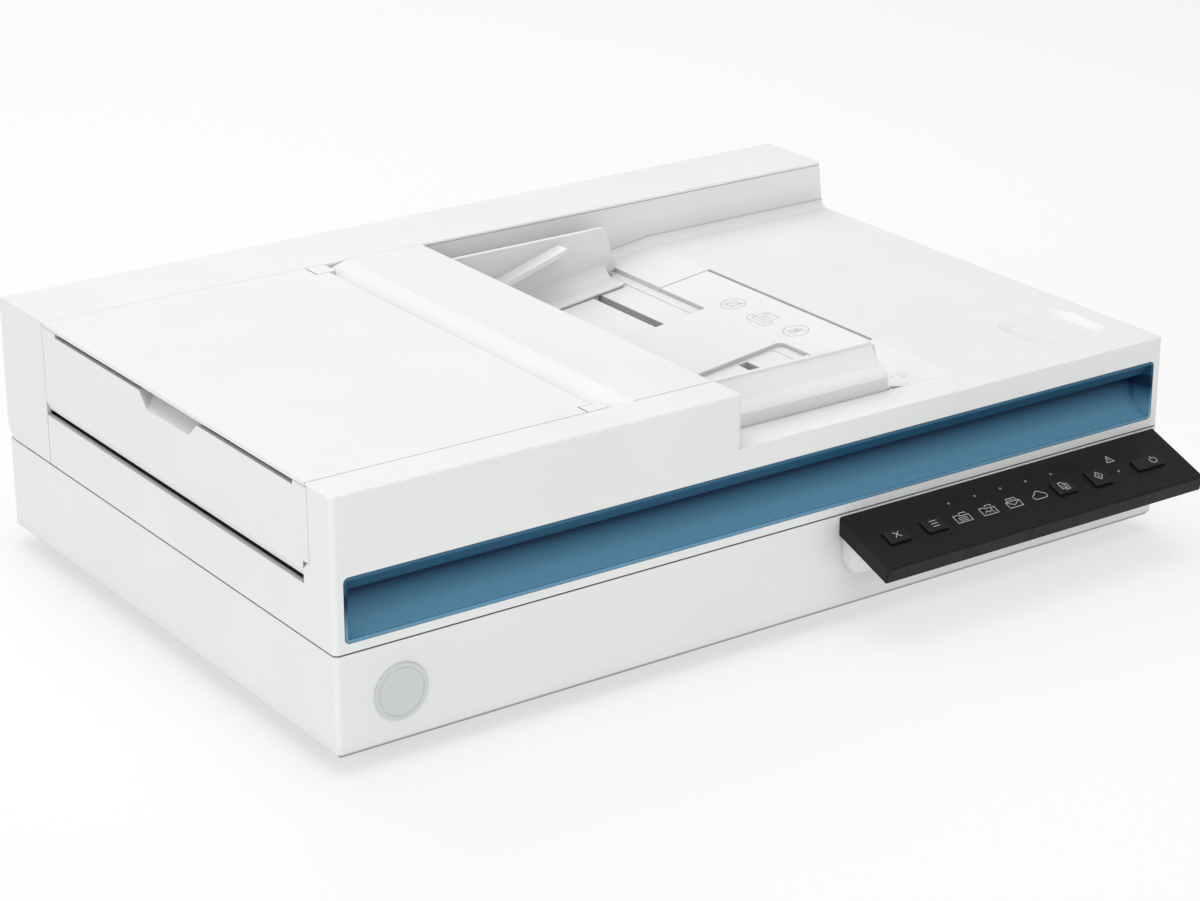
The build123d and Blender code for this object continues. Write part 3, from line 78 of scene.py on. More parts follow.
class Surface:
    """A material under construction: one shader, and the steps that give it colour, gloss and relief."""

    def __init__(self, name, colour, roughness, **inputs):
        self.material = bpy.data.materials.new(name)
        self.material.use_nodes = True
        self.tree = self.material.node_tree
        self.tree.nodes.clear()
        self.shader = self.tree.nodes.new("ShaderNodeBsdfPrincipled")
        output = self.tree.nodes.new("ShaderNodeOutputMaterial")
        self.tree.links.new(self.shader.outputs["BSDF"], output.inputs["Surface"])
        self.place = self.tree.nodes.new("ShaderNodeTexCoord").outputs["Object"]
        self.normal = None
        self.shader.inputs["Base Color"].default_value = (*colour, 1.0)
        self.shader.inputs["Roughness"].default_value = roughness
        for socket, value in inputs.items():
            self.shader.inputs[socket.replace("_", " ")].default_value = value

    def node(self, kind, values=None, links=None):
        """A new shader node with socket values, and links from other nodes' outputs."""
        made = self.tree.nodes.new("ShaderNode" + kind)
        for socket, value in (values or {}).items():
            made.inputs[socket].default_value = value
        for socket, source in (links or {}).items():
            self.tree.links.new(source, made.inputs[socket])
        return made

    def mapped(self, scale, centre=(0.0, 0.0, 0.0)):
        """Object coordinates counted from a centre and stretched by a scale per axis."""
        start = self.node("VectorMath", {1: centre}, {0: self.place})
        start.operation = "SUBTRACT"
        stretched = self.node("VectorMath", {1: scale}, {0: start.outputs[0]})
        stretched.operation = "MULTIPLY"
        return stretched.outputs[0]

    def noise(self, size, detail=2.0, stretch=(1.0, 1.0, 1.0)):
        """Cloudy noise whose lumps are about size metres across."""
        values = {"Scale": 1.0 / size, "Detail": detail}
        return self.node("TexNoise", values, {"Vector": self.mapped(stretch)}).outputs["Fac"]

    def cells(self, size):
        """Rounded cells about size metres across."""
        made = self.node("TexVoronoi", {"Scale": 1.0 / size}, {"Vector": self.place})
        made.feature = "SMOOTH_F1"
        return made.outputs["Distance"]

    def bands(self, pitch, direction, centre=(0.0, 0.0, 0.0), kind="BANDS"):
        """Even waves a pitch apart along an axis, or rings round it."""
        wave = self.node("TexWave", {"Scale": WAVE_SCALE / pitch}, {"Vector": self.mapped((1, 1, 1), centre)})
        wave.wave_type = kind
        if kind == "BANDS":
            wave.bands_direction = direction
        else:
            wave.rings_direction = direction
        return wave.outputs["Fac"]

    def ramp(self, factor, low, high, start, end):
        """factor's stretch from low to high, spread over start to end."""
        made = self.node(
            "MapRange", {"From Min": low, "From Max": high, "To Min": start, "To Max": end}, {"Value": factor}
        )
        return made.outputs["Result"]

    def colour(self, factor, dark, light, low=0.35, high=0.65):
        """Base colour that drifts between two shades with factor."""
        mix = self.node("Mix", None, {"Factor": self.ramp(factor, low, high, 0.0, 1.0)})
        mix.data_type = "RGBA"
        mix.inputs["A"].default_value = (*dark, 1.0)
        mix.inputs["B"].default_value = (*light, 1.0)
        self.tree.links.new(mix.outputs["Result"], self.shader.inputs["Base Color"])
        return self

    def darkened(self, factor):
        """Base colour times factor."""
        mix = self.node("Mix", {"Factor": 1.0})
        mix.data_type = "RGBA"
        mix.blend_type = "MULTIPLY"
        source = self.shader.inputs["Base Color"].links[0].from_socket
        self.tree.links.new(source, mix.inputs["A"])
        self.tree.links.new(factor, mix.inputs["B"])
        self.tree.links.new(mix.outputs["Result"], self.shader.inputs["Base Color"])
        return self

    def painted_hollow_shade(self, reach, deepest):
        """Painted shade: base colour darkened towards deepest in corners and hollow places that are about
        reach metres across, from ambient occlusion.
        """
        shade = self.node("AmbientOcclusion", {"Distance": reach})
        shade.samples = 8
        return self.darkened(self.ramp(shade.outputs["AO"], 0.25, 1.0, deepest, 1.0))

    def height(self):
        """Height above the table at rest, in metres."""
        return self.node("SeparateXYZ", None, {"Vector": self.place}).outputs["Z"]

    def graded(self, stops):
        """Base colour that changes with height: stops pair a height in millimetres with a colour."""
        low, high = stops[0][0], stops[-1][0]
        along = self.ramp(self.height(), low * MM, high * MM, 0.0, 1.0)
        scale = self.node("ValToRGB", None, {"Fac": along})
        elements = scale.color_ramp.elements
        while len(elements) < len(stops):
            elements.new(0.5)
        for element, (height, colour) in zip(elements, stops):
            element.position = (height - low) / (high - low)
            element.color = (*colour, 1.0)
        self.tree.links.new(scale.outputs["Color"], self.shader.inputs["Base Color"])
        return self

    def gloss(self, factor, smooth, rough, low=0.3, high=0.7):
        """Roughness that varies between two values with factor."""
        self.tree.links.new(self.ramp(factor, low, high, smooth, rough), self.shader.inputs["Roughness"])
        return self

    def relief(self, factor, depth, strength=1.0):
        """Bumps as deep as depth metres that follow factor."""
        bump = self.node("Bump", {"Strength": strength, "Distance": depth}, {"Height": factor})
        if self.normal is not None:
            self.tree.links.new(self.normal, bump.inputs["Normal"])
        self.normal = bump.outputs["Normal"]
        self.tree.links.new(self.normal, self.shader.inputs["Normal"])
        return self

    def soft_edges(self, radius):
        """Sharp edges catch the light as if rounded by radius metres."""
        bevel = self.node("Bevel", {"Radius": radius})
        bevel.samples = 4
        self.normal = bevel.outputs["Normal"]
        self.tree.links.new(self.normal, self.shader.inputs["Normal"])
        return self


# Painted shade: white parts are dark up to the first of these heights, and as light as elsewhere above the
# second.
BEVEL_SHADE_Z = (8.0 * MM, 10.2 * MM)


def white_shell():
    """Fine-grained white plastic, with painted shade that makes it grey under the base and on its bottom
    bevel, and painted shade in its corners.
    """
    made = Surface("white_shell", (0.83, 0.845, 0.838), 0.5, Specular_IOR_Level=0.35)
    made.soft_edges(0.35 * MM)
    made.colour(made.noise(55 * MM), (0.825, 0.84, 0.833), (0.845, 0.86, 0.853))
    # Painted shade: the shell is darker below these heights, under the base and on its bottom bevel.
    made.darkened(made.ramp(made.height(), *BEVEL_SHADE_Z, 0.25, 1.0))
    # Painted shade in corners and hollow places, from ambient occlusion.
    made.painted_hollow_shade(16 * MM, 0.7)
    made.gloss(made.noise(18 * MM), 0.46, 0.56)
    return made.relief(made.noise(0.55 * MM, 3.0), 0.018 * MM)


def blue_grip():
    """Blue plastic with painted light at the bottom of the recess, painted shade under its upper edge,
    painted shade between the two on that edge, and painted shade in its corners.
    """
    made = Surface("blue_grip", (0.06, 0.185, 0.3), 0.5, Specular_IOR_Level=0.2)
    made.soft_edges(0.3 * MM)
    # Painted light and shade: the blue is lighter low in the recess and darker under its upper edge, as light
    # falls into it.
    sunlit, shaded, painted_brow_shade = (0.135, 0.335, 0.505), (0.001, 0.024, 0.065), (0.012, 0.08, 0.155)
    painted_half_shade = (0.055, 0.175, 0.29)
    tub = [(60.0, sunlit), (63.0, sunlit), (69.0, painted_half_shade), (74.0, shaded), (78.8, shaded)]
    upper_edge = [(79.6, painted_brow_shade), (84.0, painted_brow_shade), (86.5, painted_half_shade)]
    made.graded(tub + upper_edge)
    made.darkened(made.ramp(made.noise(0.7 * MM, 3.0), 0.3, 0.7, 0.86, 1.08))
    # Painted shade in corners and hollow places, from ambient occlusion.
    made.painted_hollow_shade(6 * MM, 0.7)
    made.gloss(made.noise(1.2 * MM), 0.5, 0.62)
    return made.relief(made.noise(0.6 * MM, 3.0), 0.05 * MM)


def panel_black():
    made = Surface("panel_black", (0.012, 0.012, 0.0125), 0.5, Specular_IOR_Level=0.22)
    made.soft_edges(0.45 * MM)
    made.colour(made.noise(0.8 * MM, 3.0), (0.005, 0.005, 0.0055), (0.013, 0.013, 0.0135))
    made.gloss(made.noise(9 * MM), 0.42, 0.55)
    return made.relief(made.noise(0.7 * MM, 3.0), 0.06 * MM)


def button_black():
    made = Surface("button_black", (0.008, 0.008, 0.0085), 0.4, Specular_IOR_Level=0.3)
    made.soft_edges(0.3 * MM)
    made.colour(made.noise(1.5 * MM), (0.006, 0.006, 0.0065), (0.011, 0.011, 0.0115))
    made.gloss(made.noise(4 * MM), 0.34, 0.46)
    return made.relief(made.noise(0.5 * MM, 3.0), 0.03 * MM)


def badge_satin():
    low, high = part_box("badge")
    made = Surface("badge_satin", (0.62, 0.64, 0.64), 0.38, Metallic=0.35, Specular_IOR_Level=0.5)
    made.soft_edges(0.2 * MM)
    rings = made.bands(0.35 * MM, "Y", (low + high) / 2, "RINGS")
    made.colour(rings, (0.6, 0.62, 0.62), (0.68, 0.7, 0.7))
    made.gloss(made.noise(3 * MM), 0.32, 0.44)
    return made.relief(rings, 0.004 * MM)


def light_window():
    made = Surface("light_window", (0.22, 0.23, 0.24), 0.3, Specular_IOR_Level=0.5)
    made.colour(made.noise(0.6 * MM), (0.16, 0.165, 0.175), (0.28, 0.29, 0.3))
    return made.relief(made.noise(0.4 * MM), 0.01 * MM)


def glass():
    made = Surface("glass", (0.93, 0.97, 0.955), 0.03, Transmission_Weight=1.0, IOR=1.5)
    made.gloss(made.noise(30 * MM), 0.015, 0.04)
    return made.relief(made.noise(45 * MM), 0.002 * MM)


def rubber(name, dark, light, grain):
    made = Surface(name, light, 0.75, Specular_IOR_Level=0.3)
    made.colour(made.noise(2.5 * MM), dark, light)
    made.gloss(made.noise(6 * MM), 0.66, 0.84)
    return made.relief(made.noise(grain, 3.0), 0.08 * MM)


def roller_rubber():
    made = Surface("roller_rubber", (0.06, 0.06, 0.065), 0.7, Specular_IOR_Level=0.3)
    made.colour(made.noise(3 * MM), (0.045, 0.045, 0.05), (0.085, 0.085, 0.09))
    made.relief(made.bands(1.1 * MM, "Y"), 0.12 * MM, 0.6)
    return made.relief(made.noise(0.4 * MM, 3.0), 0.04 * MM)


def belt_rubber():
    made = Surface("belt_rubber", (0.02, 0.02, 0.02), 0.6, Specular_IOR_Level=0.35)
    made.colour(made.noise(4 * MM), (0.012, 0.012, 0.012), (0.03, 0.03, 0.03))
    return made.relief(made.bands(2.0 * MM, "X"), 0.4 * MM, 0.7)


def steel():
    made = Surface("steel", (0.56, 0.565, 0.57), 0.32, Metallic=1.0)
    made.colour(made.noise(12 * MM), (0.5, 0.505, 0.51), (0.62, 0.625, 0.63))
    brushed = made.noise(0.5 * MM, 3.0, (1.0, 0.06, 1.0))
    made.gloss(brushed, 0.24, 0.42)
    return made.relief(brushed, 0.006 * MM)


def dark_plastic(name, shade, depth):
    made = Surface(name, (shade, shade, shade * 1.05), 0.5, Specular_IOR_Level=0.4)
    made.soft_edges(0.25 * MM)
    low, high = 0.75 * shade, 1.25 * shade
    made.colour(made.noise(20 * MM), (low, low, low * 1.05), (high, high, high * 1.05))
    made.gloss(made.noise(7 * MM), 0.4, 0.58)
    return made.relief(made.noise(0.6 * MM, 3.0), depth)


def gear_plastic():
    made = Surface("gear_plastic", (0.74, 0.73, 0.68), 0.42, Subsurface_Weight=0.15)
    made.shader.inputs["Subsurface Radius"].default_value = (0.002, 0.0016, 0.0012)
    made.colour(made.noise(8 * MM), (0.7, 0.69, 0.63), (0.78, 0.77, 0.72))
    made.gloss(made.noise(3 * MM), 0.36, 0.5)
    return made.relief(made.noise(0.8 * MM), 0.01 * MM)


def foam_white():
    made = Surface("foam_white", (0.84, 0.84, 0.83), 0.6, Specular_IOR_Level=0.3, Sheen_Weight=0.1)
    made.colour(made.noise(30 * MM), (0.8, 0.805, 0.8), (0.86, 0.865, 0.86))
    made.relief(made.noise(14 * MM, 1.0), 0.25 * MM, 0.5)
    return made.relief(made.cells(1.1 * MM), 0.05 * MM)


def circuit_board():
    made = Surface("circuit_board", (0.02, 0.14, 0.06), 0.35, Specular_IOR_Level=0.5)
    tracks = made.bands(2.4 * MM, "DIAGONAL")
    made.colour(tracks, (0.012, 0.1, 0.045), (0.05, 0.24, 0.11), 0.8, 0.95)
    made.gloss(made.noise(5 * MM), 0.28, 0.42)
    return made.relief(tracks, 0.03 * MM)


def ink(name, shade, spread):
    """Printed marks: a thin, slightly uneven layer of paint."""
    made = Surface(name, (shade, shade, shade), 0.6, Specular_IOR_Level=0.3)
    low, high = shade - spread, shade + spread
    made.colour(made.noise(0.5 * MM, 3.0), (low, low, low), (high, high, high))
    return made.relief(made.noise(0.3 * MM), 0.01 * MM)


SURFACES = {
    "white_shell": white_shell(),
    "blue_grip": blue_grip(),
    "panel_black": panel_black(),
    "button_black": button_black(),
    "badge_satin": badge_satin(),
    "light_window": light_window(),
    "glass": glass(),
    "rubber": rubber("rubber", (0.018, 0.018, 0.018), (0.035, 0.035, 0.035), 0.7 * MM),
    "roller_rubber": roller_rubber(),
    "belt_rubber": belt_rubber(),
    "steel": steel(),
    "dark_plastic": dark_plastic("dark_plastic", 0.04, 0.03 * MM),
    "sensor_black": dark_plastic("sensor_black", 0.012, 0.015 * MM),
    "gear_plastic": gear_plastic(),
    "foam_white": foam_white(),
    "circuit_board": circuit_board(),
}
PANEL_INK = ink("panel_ink", 0.5, 0.07)
TRAY_INK = ink("tray_ink", 0.5, 0.03)
LABEL = Surface("label_film", (0.6, 0.61, 0.61), 0.4, Metallic=0.2)
LABEL.colour(LABEL.noise(9 * MM), (0.56, 0.57, 0.57), (0.64, 0.65, 0.65))
LABEL.relief(LABEL.noise(0.8 * MM), 0.008 * MM)

for part in frame["record"]["subparts"]:
    node = frame["nodes"][part["node"]]
    node.data.materials.clear()
    node.data.materials.append(SURFACES[part["material_slot"]].material)


# ---- thin marks drawn on a flat or tilted face
class Sheet:
    """A face to draw on: a start point, the directions of its two millimetre axes, and its outward normal."""

    def __init__(self, start, across, up):
        self.start = start
        self.across = Vector(across).normalized()
        self.up = Vector(up).normalized()
        self.out = self.across.cross(self.up)

    def point(self, u, v, lift):
        return self.start + (self.across * u + self.up * v + self.out * lift) * MM

    def moved(self, u, v):
        return Sheet(self.point(u, v, 0.0), self.across, self.up)


def level(z):
    """A horizontal sheet z millimetres above the table, with its axes along x and y."""
    return Sheet(at(0, 0, z), (1, 0, 0), (0, 1, 0))


# Heights of a mark's under side and its upper side over the face that it lies on, in millimetres.
SUNK = -0.05
PRINT_T = 0.06

# A mitred corner reaches no further than a line's offset divided by this.
MITRE_LIMIT = 0.35
ROUND_STEPS = 5


def arc(u, v, radius, start, end, steps):
    """Points on an arc, with angles in degrees."""
    turns = [radians(start + (end - start) * i / steps) for i in range(steps + 1)]
    return [(u + radius * cos(a), v + radius * sin(a)) for a in turns]


def offset_line(points, distance, closed):
    """The line moved sideways by distance, with mitred corners."""
    moved = []
    count = len(points)
    for i, (u, v) in enumerate(points):
        before = points[i - 1] if closed or i > 0 else None
        after = points[(i + 1) % count] if closed or i < count - 1 else None
        sides = []
        if before is not None:
            sides.append((u - before[0], v - before[1]))
        if after is not None:
            sides.append((after[0] - u, after[1] - v))
        normals = [(-b / hypot(a, b), a / hypot(a, b)) for a, b in sides]
        nu = sum(n[0] for n in normals)
        nv = sum(n[1] for n in normals)
        size = hypot(nu, nv)
        nu, nv = nu / size, nv / size
        reach = distance / max(MITRE_LIMIT, nu * normals[0][0] + nv * normals[0][1])
        moved.append((u + nu * reach, v + nv * reach))
    return moved


def stroke(mesh, sheet, points, width, closed=False, thick=PRINT_T):
    """A raised line of constant width along the points, as a closed solid."""
    left = offset_line(points, width / 2, closed)
    right = offset_line(points, -width / 2, closed)
    rows = []
    for (lu, lv), (ru, rv) in zip(left, right):
        corners = [(lu, lv, SUNK), (ru, rv, SUNK), (ru, rv, thick), (lu, lv, thick)]
        rows.append([mesh.verts.new(sheet.point(*corner)) for corner in corners])
    pairs = list(zip(rows, rows[1:]))
    if closed:
        pairs.append((rows[-1], rows[0]))
    for one, two in pairs:
        for i in range(4):
            j = (i + 1) % 4
            mesh.faces.new([one[i], one[j], two[j], two[i]])
    if not closed:
        mesh.faces.new(list(reversed(rows[0])))
        mesh.faces.new(rows[-1])


def plate(mesh, sheet, outline, thick=PRINT_T, low=SUNK):
    """A filled flat shape, as a closed solid."""
    bottom = [mesh.verts.new(sheet.point(u, v, low)) for u, v in outline]
    top = [mesh.verts.new(sheet.point(u, v, thick)) for u, v in outline]
    mesh.faces.new(list(reversed(bottom)))
    mesh.faces.new(top)
    for i in range(len(outline)):
        j = (i + 1) % len(outline)
        mesh.faces.new([bottom[i], bottom[j], top[j], top[i]])


def rounded(width, height, radius):
    """Outline of a rectangle with round corners, centred."""
    u, v = width / 2 - radius, height / 2 - radius
    outline = []
    for cu, cv, start in ((u, v, 0), (-u, v, 90), (-u, -v, 180), (u, -v, 270)):
        outline += arc(cu, cv, radius, start, start + 90, ROUND_STEPS)
    return outline


def finish_piece(name, mesh, surface, body):
    """Turns a bmesh into a piece that rides on a body, and returns it."""
    bmesh.ops.recalc_face_normals(mesh, faces=mesh.faces)
    data = bpy.data.meshes.new(name)
    mesh.to_mesh(data)
    mesh.free()
    data.materials.append(surface.material)
    piece = bpy.data.objects.new(name, data)
    bpy.context.scene.collection.objects.link(piece)
    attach(piece, body)
    return piece


def drawing(name, draw, sheet, surface, body):
    """A piece made of the strokes and plates that a draw function puts on a sheet."""
    mesh = bmesh.new()
    draw(mesh, sheet)
    finish_piece(name, mesh, surface, body)


# ---- the control panel's marks
PANEL_TOP_Z = 52.2
PANEL_RISE = 13.0
PANEL_DEPTH = 34.7
PANEL_TILT = atan(PANEL_RISE / PANEL_DEPTH)
PANEL = Sheet(at(0, 0, PANEL_TOP_Z), (1, 0, 0), (0, cos(PANEL_TILT), sin(PANEL_TILT)))
LINE = 0.36
THIN_LINE = LINE * 0.8
BUTTON_PROUD = 1.5


def cancel_mark(mesh, sheet):
    stroke(mesh, sheet, [(-1.7, -1.7), (1.7, 1.7)], LINE)
    stroke(mesh, sheet, [(-1.7, 1.7), (1.7, -1.7)], LINE, thick=PRINT_T + 0.01)


def menu_mark(mesh, sheet):
    for v in (-1.7, 0.0, 1.7):
        stroke(mesh, sheet, [(-1.9, v), (1.9, v)], LINE)


def duplex_mark(mesh, sheet):
    stroke(mesh, sheet, [(-2.1, -1.6), (-2.1, 2.3), (-0.2, 2.3), (0.9, 1.2), (0.9, -1.6)], LINE, closed=True)
    stroke(mesh, sheet, [(1.6, 1.3), (2.2, 0.8), (2.2, -2.5), (-0.9, -2.5)], LINE)
    for v in (0.6, -0.5):
        stroke(mesh, sheet, [(-1.3, v), (0.1, v)], THIN_LINE)


def scan_mark(mesh, sheet):
    stroke(mesh, sheet, [(-2.3, 0.0), (0.0, 2.5), (2.3, 0.0), (0.0, -2.5)], LINE, closed=True)
    stroke(mesh, sheet, [(0.0, -1.1), (0.0, 1.1)], LINE)


def power_mark(mesh, sheet):
    stroke(mesh, sheet, arc(0, 0, 1.9, 125, 415, 28), LINE)
    stroke(mesh, sheet, [(0.0, 0.5), (0.0, 2.5)], LINE)


def folder(mesh, sheet):
    body = [(-4.2, -2.9), (-4.2, 1.9), (-1.6, 1.9), (-0.8, 1.1), (4.2, 1.1), (4.2, -2.9)]
    stroke(mesh, sheet, body, LINE, closed=True)
    stroke(mesh, sheet, [(-0.3, 2.0), (0.0, 2.9), (3.1, 2.9), (3.3, 1.9)], LINE)


def text_folder_mark(mesh, sheet):
    folder(mesh, sheet)
    for v in (0.0, -1.0, -2.0):
        stroke(mesh, sheet, [(-2.6, v), (2.6, v)], THIN_LINE)


def picture_folder_mark(mesh, sheet):
    folder(mesh, sheet)
    stroke(mesh, sheet, [(-2.9, -2.1), (-1.2, -0.2), (0.0, -1.5), (1.1, -0.5), (2.8, -2.1)], THIN_LINE)
    plate(mesh, sheet, arc(2.2, 0.1, 0.4, 0, 324, 9))


def mail_mark(mesh, sheet):
    stroke(mesh, sheet, [(-3.9, -2.9), (-3.9, 1.0), (3.9, 1.0), (3.9, -2.9)], LINE, closed=True)
    stroke(mesh, sheet, [(-3.7, 0.8), (0.0, -1.5), (3.7, 0.8)], LINE * 0.9)
    stroke(mesh, sheet, [(-2.5, 1.2), (-2.5, 3.0), (2.5, 3.0), (2.5, 1.2)], LINE * 0.9)
    stroke(mesh, sheet, [(-1.3, 2.0), (1.3, 2.0)], THIN_LINE)


def cloud_mark(mesh, sheet):
    outline = arc(-2.5, -0.8, 1.5, 90, 270, 12)
    outline += arc(2.4, -0.7, 1.6, -90, 80, 12)
    outline += arc(0.2, 0.6, 2.0, 25, 160, 14)
    stroke(mesh, sheet, outline, LINE, closed=True)


def warning_mark(mesh, sheet):
    stroke(mesh, sheet, [(-2.3, -1.9), (2.3, -1.9), (0.0, 2.1)], LINE, closed=True)
    stroke(mesh, sheet, [(0.0, 0.7), (0.0, -0.5)], LINE * 0.9)
    plate(mesh, sheet, arc(0.0, -1.15, 0.24, 0, 324, 9))


def node_middle(node):
    """The middle of a CAD node's box."""
    low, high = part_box(node)
    return (low + high) / 2


def button_face(node, shift=0.0):
    """The sheet on top of a button, centred, or moved sideways by shift millimetres."""
    centre = node_middle(node) - PANEL.start
    u = centre.dot(PANEL.across) / MM
    v = centre.dot(PANEL.up) / MM
    return Sheet(PANEL.point(u + shift, v, BUTTON_PROUD), PANEL.across, PANEL.up)


# Each button's mark, and how far to the right of the button's middle it stands.
BUTTON_MARKS = {
    "cancel_button": (cancel_mark, 0.0),
    "menu_button": (menu_mark, 0.0),
    "duplex_button": (duplex_mark, 0.0),
    "scan_button": (scan_mark, 0.0),
    "power_button": (power_mark, 3.4),
}
for button, (draw, shift) in BUTTON_MARKS.items():
    drawing("mark_" + button, draw, button_face(button, shift), PANEL_INK, button)

# The marks printed on the panel itself, with their places on its sheet.
PRINTED_V = -19.9
PRINTED_MARKS = (
    ("mark_text_folder", text_folder_mark, 313.4, PRINTED_V),
    ("mark_picture_folder", picture_folder_mark, 328.6, PRINTED_V),
    ("mark_mail", mail_mark, 343.7, PRINTED_V),
    ("mark_cloud", cloud_mark, 359.3, PRINTED_V),
    ("mark_warning", warning_mark, 410.0, -10.9),
)
for name, draw, u, v in PRINTED_MARKS:
    drawing(name, draw, PANEL.moved(u, v), PANEL_INK, "root")


# ---- the tray's moulded pictograms and size marks
# From the level plateau the tray falls to the left, starting at the crease.
TRAY_SLOPE = 0.128
CREASE_X = 338.0
PLATEAU_Z = 97.2
# The plate with the pictograms lies this far under the tray's own face.
PLATE_DROP = 0.25
TRAY_LINE = 0.34
NO_SIGN_R = 6.2


def tray_sheet(x, y, drop=PLATE_DROP):
    """A sheet drop millimetres under the sloping tray's face, with axes to the back and to the left."""
    z = PLATEAU_Z - TRAY_SLOPE * (CREASE_X - x) - drop
    return Sheet(at(x, y, z), (0, 1, 0), (-1.0, 0.0, -TRAY_SLOPE))


def no_sign_ring(mesh, sheet):
    stroke(mesh, sheet, arc(0, 0, NO_SIGN_R, 0, 350, 35), TRAY_LINE, closed=True)


def no_sign_bar(mesh, sheet):
    stroke(mesh, sheet, [(-4.3, -4.3), (4.3, 4.3)], TRAY_LINE)


def no_staples_mark(mesh, sheet):
    no_sign_ring(mesh, sheet)
    stroke(mesh, sheet, [(-2.6, 2.9), (2.6, 2.9), (2.6, -2.9), (-2.6, -2.9)], TRAY_LINE, closed=True)
    no_sign_bar(mesh, sheet)
    stroke(mesh, sheet, [(-2.2, 1.6), (-1.1, 2.5)], TRAY_LINE * 1.4)


def no_clips_mark(mesh, sheet):
    no_sign_ring(mesh, sheet)
    clip = arc(0, 1.8, 1.7, 0, 180, 10) + arc(0, -1.8, 1.7, 180, 360, 10)
    stroke(mesh, sheet, clip, TRAY_LINE, closed=True)
    stroke(mesh, sheet, [(-0.7, 1.6), (-0.7, -1.4), (0.7, -1.4), (0.7, 1.2)], TRAY_LINE)
    no_sign_bar(mesh, sheet)


def face_up_mark(mesh, sheet):
    """A stack of sheets going into a machine, face up."""
    stroke(mesh, sheet, [(-8.5, 3.4), (-6.0, 5.8), (6.0, 5.8), (8.5, 3.4)], TRAY_LINE)
    stroke(mesh, sheet, [(-8.5, 3.4), (-8.5, 1.0), (-5.4, 1.0)], TRAY_LINE)
    stroke(mesh, sheet, [(8.5, 3.4), (8.5, 1.0), (5.4, 1.0)], TRAY_LINE)
    page = [(-5.2, 3.2), (-5.2, -5.6), (3.0, -5.6), (5.2, -3.6), (5.2, 3.2)]
    stroke(mesh, sheet, page, TRAY_LINE, closed=True)
    stroke(mesh, sheet, [(3.0, -5.6), (3.0, -3.6), (5.2, -3.6)], TRAY_LINE)
    for v in (1.4, -0.4, -2.2):
        stroke(mesh, sheet, [(-3.4, v), (3.4, v)], TRAY_LINE)


def size_marks(mesh, sheet):
    stroke(mesh, sheet, [(1.6, 4.2), (1.6, 1.2)], TRAY_LINE)
    for u in (2.4, 0.1, -2.2):
        stroke(mesh, sheet, [(u, -0.4), (u, -3.6)], TRAY_LINE)


TRAY_MARKS = (
    ("mark_no_staples", no_staples_mark, tray_sheet(320.1, 160.4)),
    ("mark_face_up", face_up_mark, tray_sheet(319.4, 135.2)),
    ("mark_no_clips", no_clips_mark, tray_sheet(320.4, 111.9)),
    ("mark_sizes", size_marks, tray_sheet(319.2, 35.5, 0.0)),
)
for name, draw, sheet in TRAY_MARKS:
    drawing(name, draw, sheet, TRAY_INK, "lid")

# ---- a black strip in the seam between base and lid: painted shade in the gap
SEAM_SHADE_INSET = 0.6
SEAM_SHADE_WIDTH = 1.0
SEAM_SHADE_BACK_Y = 283.0
SEAM_SHADE_Z = (52.95, 53.6)
SEAM_SHADE_TURN_R = 2.0


def seam_shade_strip():
    """A thin black strip along the top of the base's left, front and right walls, which stands in for the
    shade in the seam.
    """
    low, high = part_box("base_housing")
    right = (high.x - CORNER.x) / MM - SEAM_SHADE_INSET - SEAM_SHADE_WIDTH / 2
    edge = SEAM_SHADE_INSET + SEAM_SHADE_WIDTH / 2
    centre_y = edge + SEAM_SHADE_TURN_R
    path = [(edge, SEAM_SHADE_BACK_Y)]
    path += arc(edge + SEAM_SHADE_TURN_R, centre_y, SEAM_SHADE_TURN_R, 180, 270, 6)
    path += arc(right - SEAM_SHADE_TURN_R, centre_y, SEAM_SHADE_TURN_R, 270, 360, 6)
    path.append((right, SEAM_SHADE_BACK_Y))
    mesh = bmesh.new()
    stroke(mesh, level(SEAM_SHADE_Z[0] - SUNK), path, SEAM_SHADE_WIDTH, thick=SEAM_SHADE_Z[1] - SEAM_SHADE_Z[0] + SUNK)
    finish_piece("seam_shade_strip", mesh, SURFACES["rubber"], "root")


# Painted shade: a black strip that stands in for the shadow in the seam between base and lid.
seam_shade_strip()


# ---- the cover under the racks of the paper guides, seen through their slots
RACK_COVER_Z = 79.0
RACK_COVER_T = 1.2
RACK_COVER_X = 283.0
RACK_COVER_YS = (79.0, 195.0)
RACK_COVER_SIZE = (42.0, 106.0)


def rack_cover(mesh, sheet):
    for y in RACK_COVER_YS:
        plate(mesh, sheet.moved(RACK_COVER_X, y), rounded(*RACK_COVER_SIZE, 3.0), RACK_COVER_T, 0.0)


drawing("guide_rack_cover", rack_cover, level(RACK_COVER_Z), SURFACES["white_shell"], "lid")


# ---- the ribs under the tray that close the view past the right and rear edges of those slots
SLOT_RIGHT = 286.5
SLOT_LEFT = 281.5
SLOT_ENDS = ((27.5, 105.5), (168.5, 246.5))
RIB_GAP = 0.1
RIB_T = 1.2
RIB_Z = (84.35, 87.0)


def slot_ribs(mesh, sheet):
    near, far = SLOT_RIGHT + RIB_GAP, SLOT_RIGHT + RIB_GAP + RIB_T
    for front, rear in SLOT_ENDS:
        back = rear + RIB_GAP
        outline = [(near, front), (far, front), (far, back + RIB_T)]
        outline += [(SLOT_LEFT, back + RIB_T), (SLOT_LEFT, back), (near, back)]
        plate(mesh, sheet, outline, RIB_Z[1] - RIB_Z[0], 0.0)


drawing("guide_slot_ribs", slot_ribs, level(RIB_Z[0]), SURFACES["white_shell"], "lid")


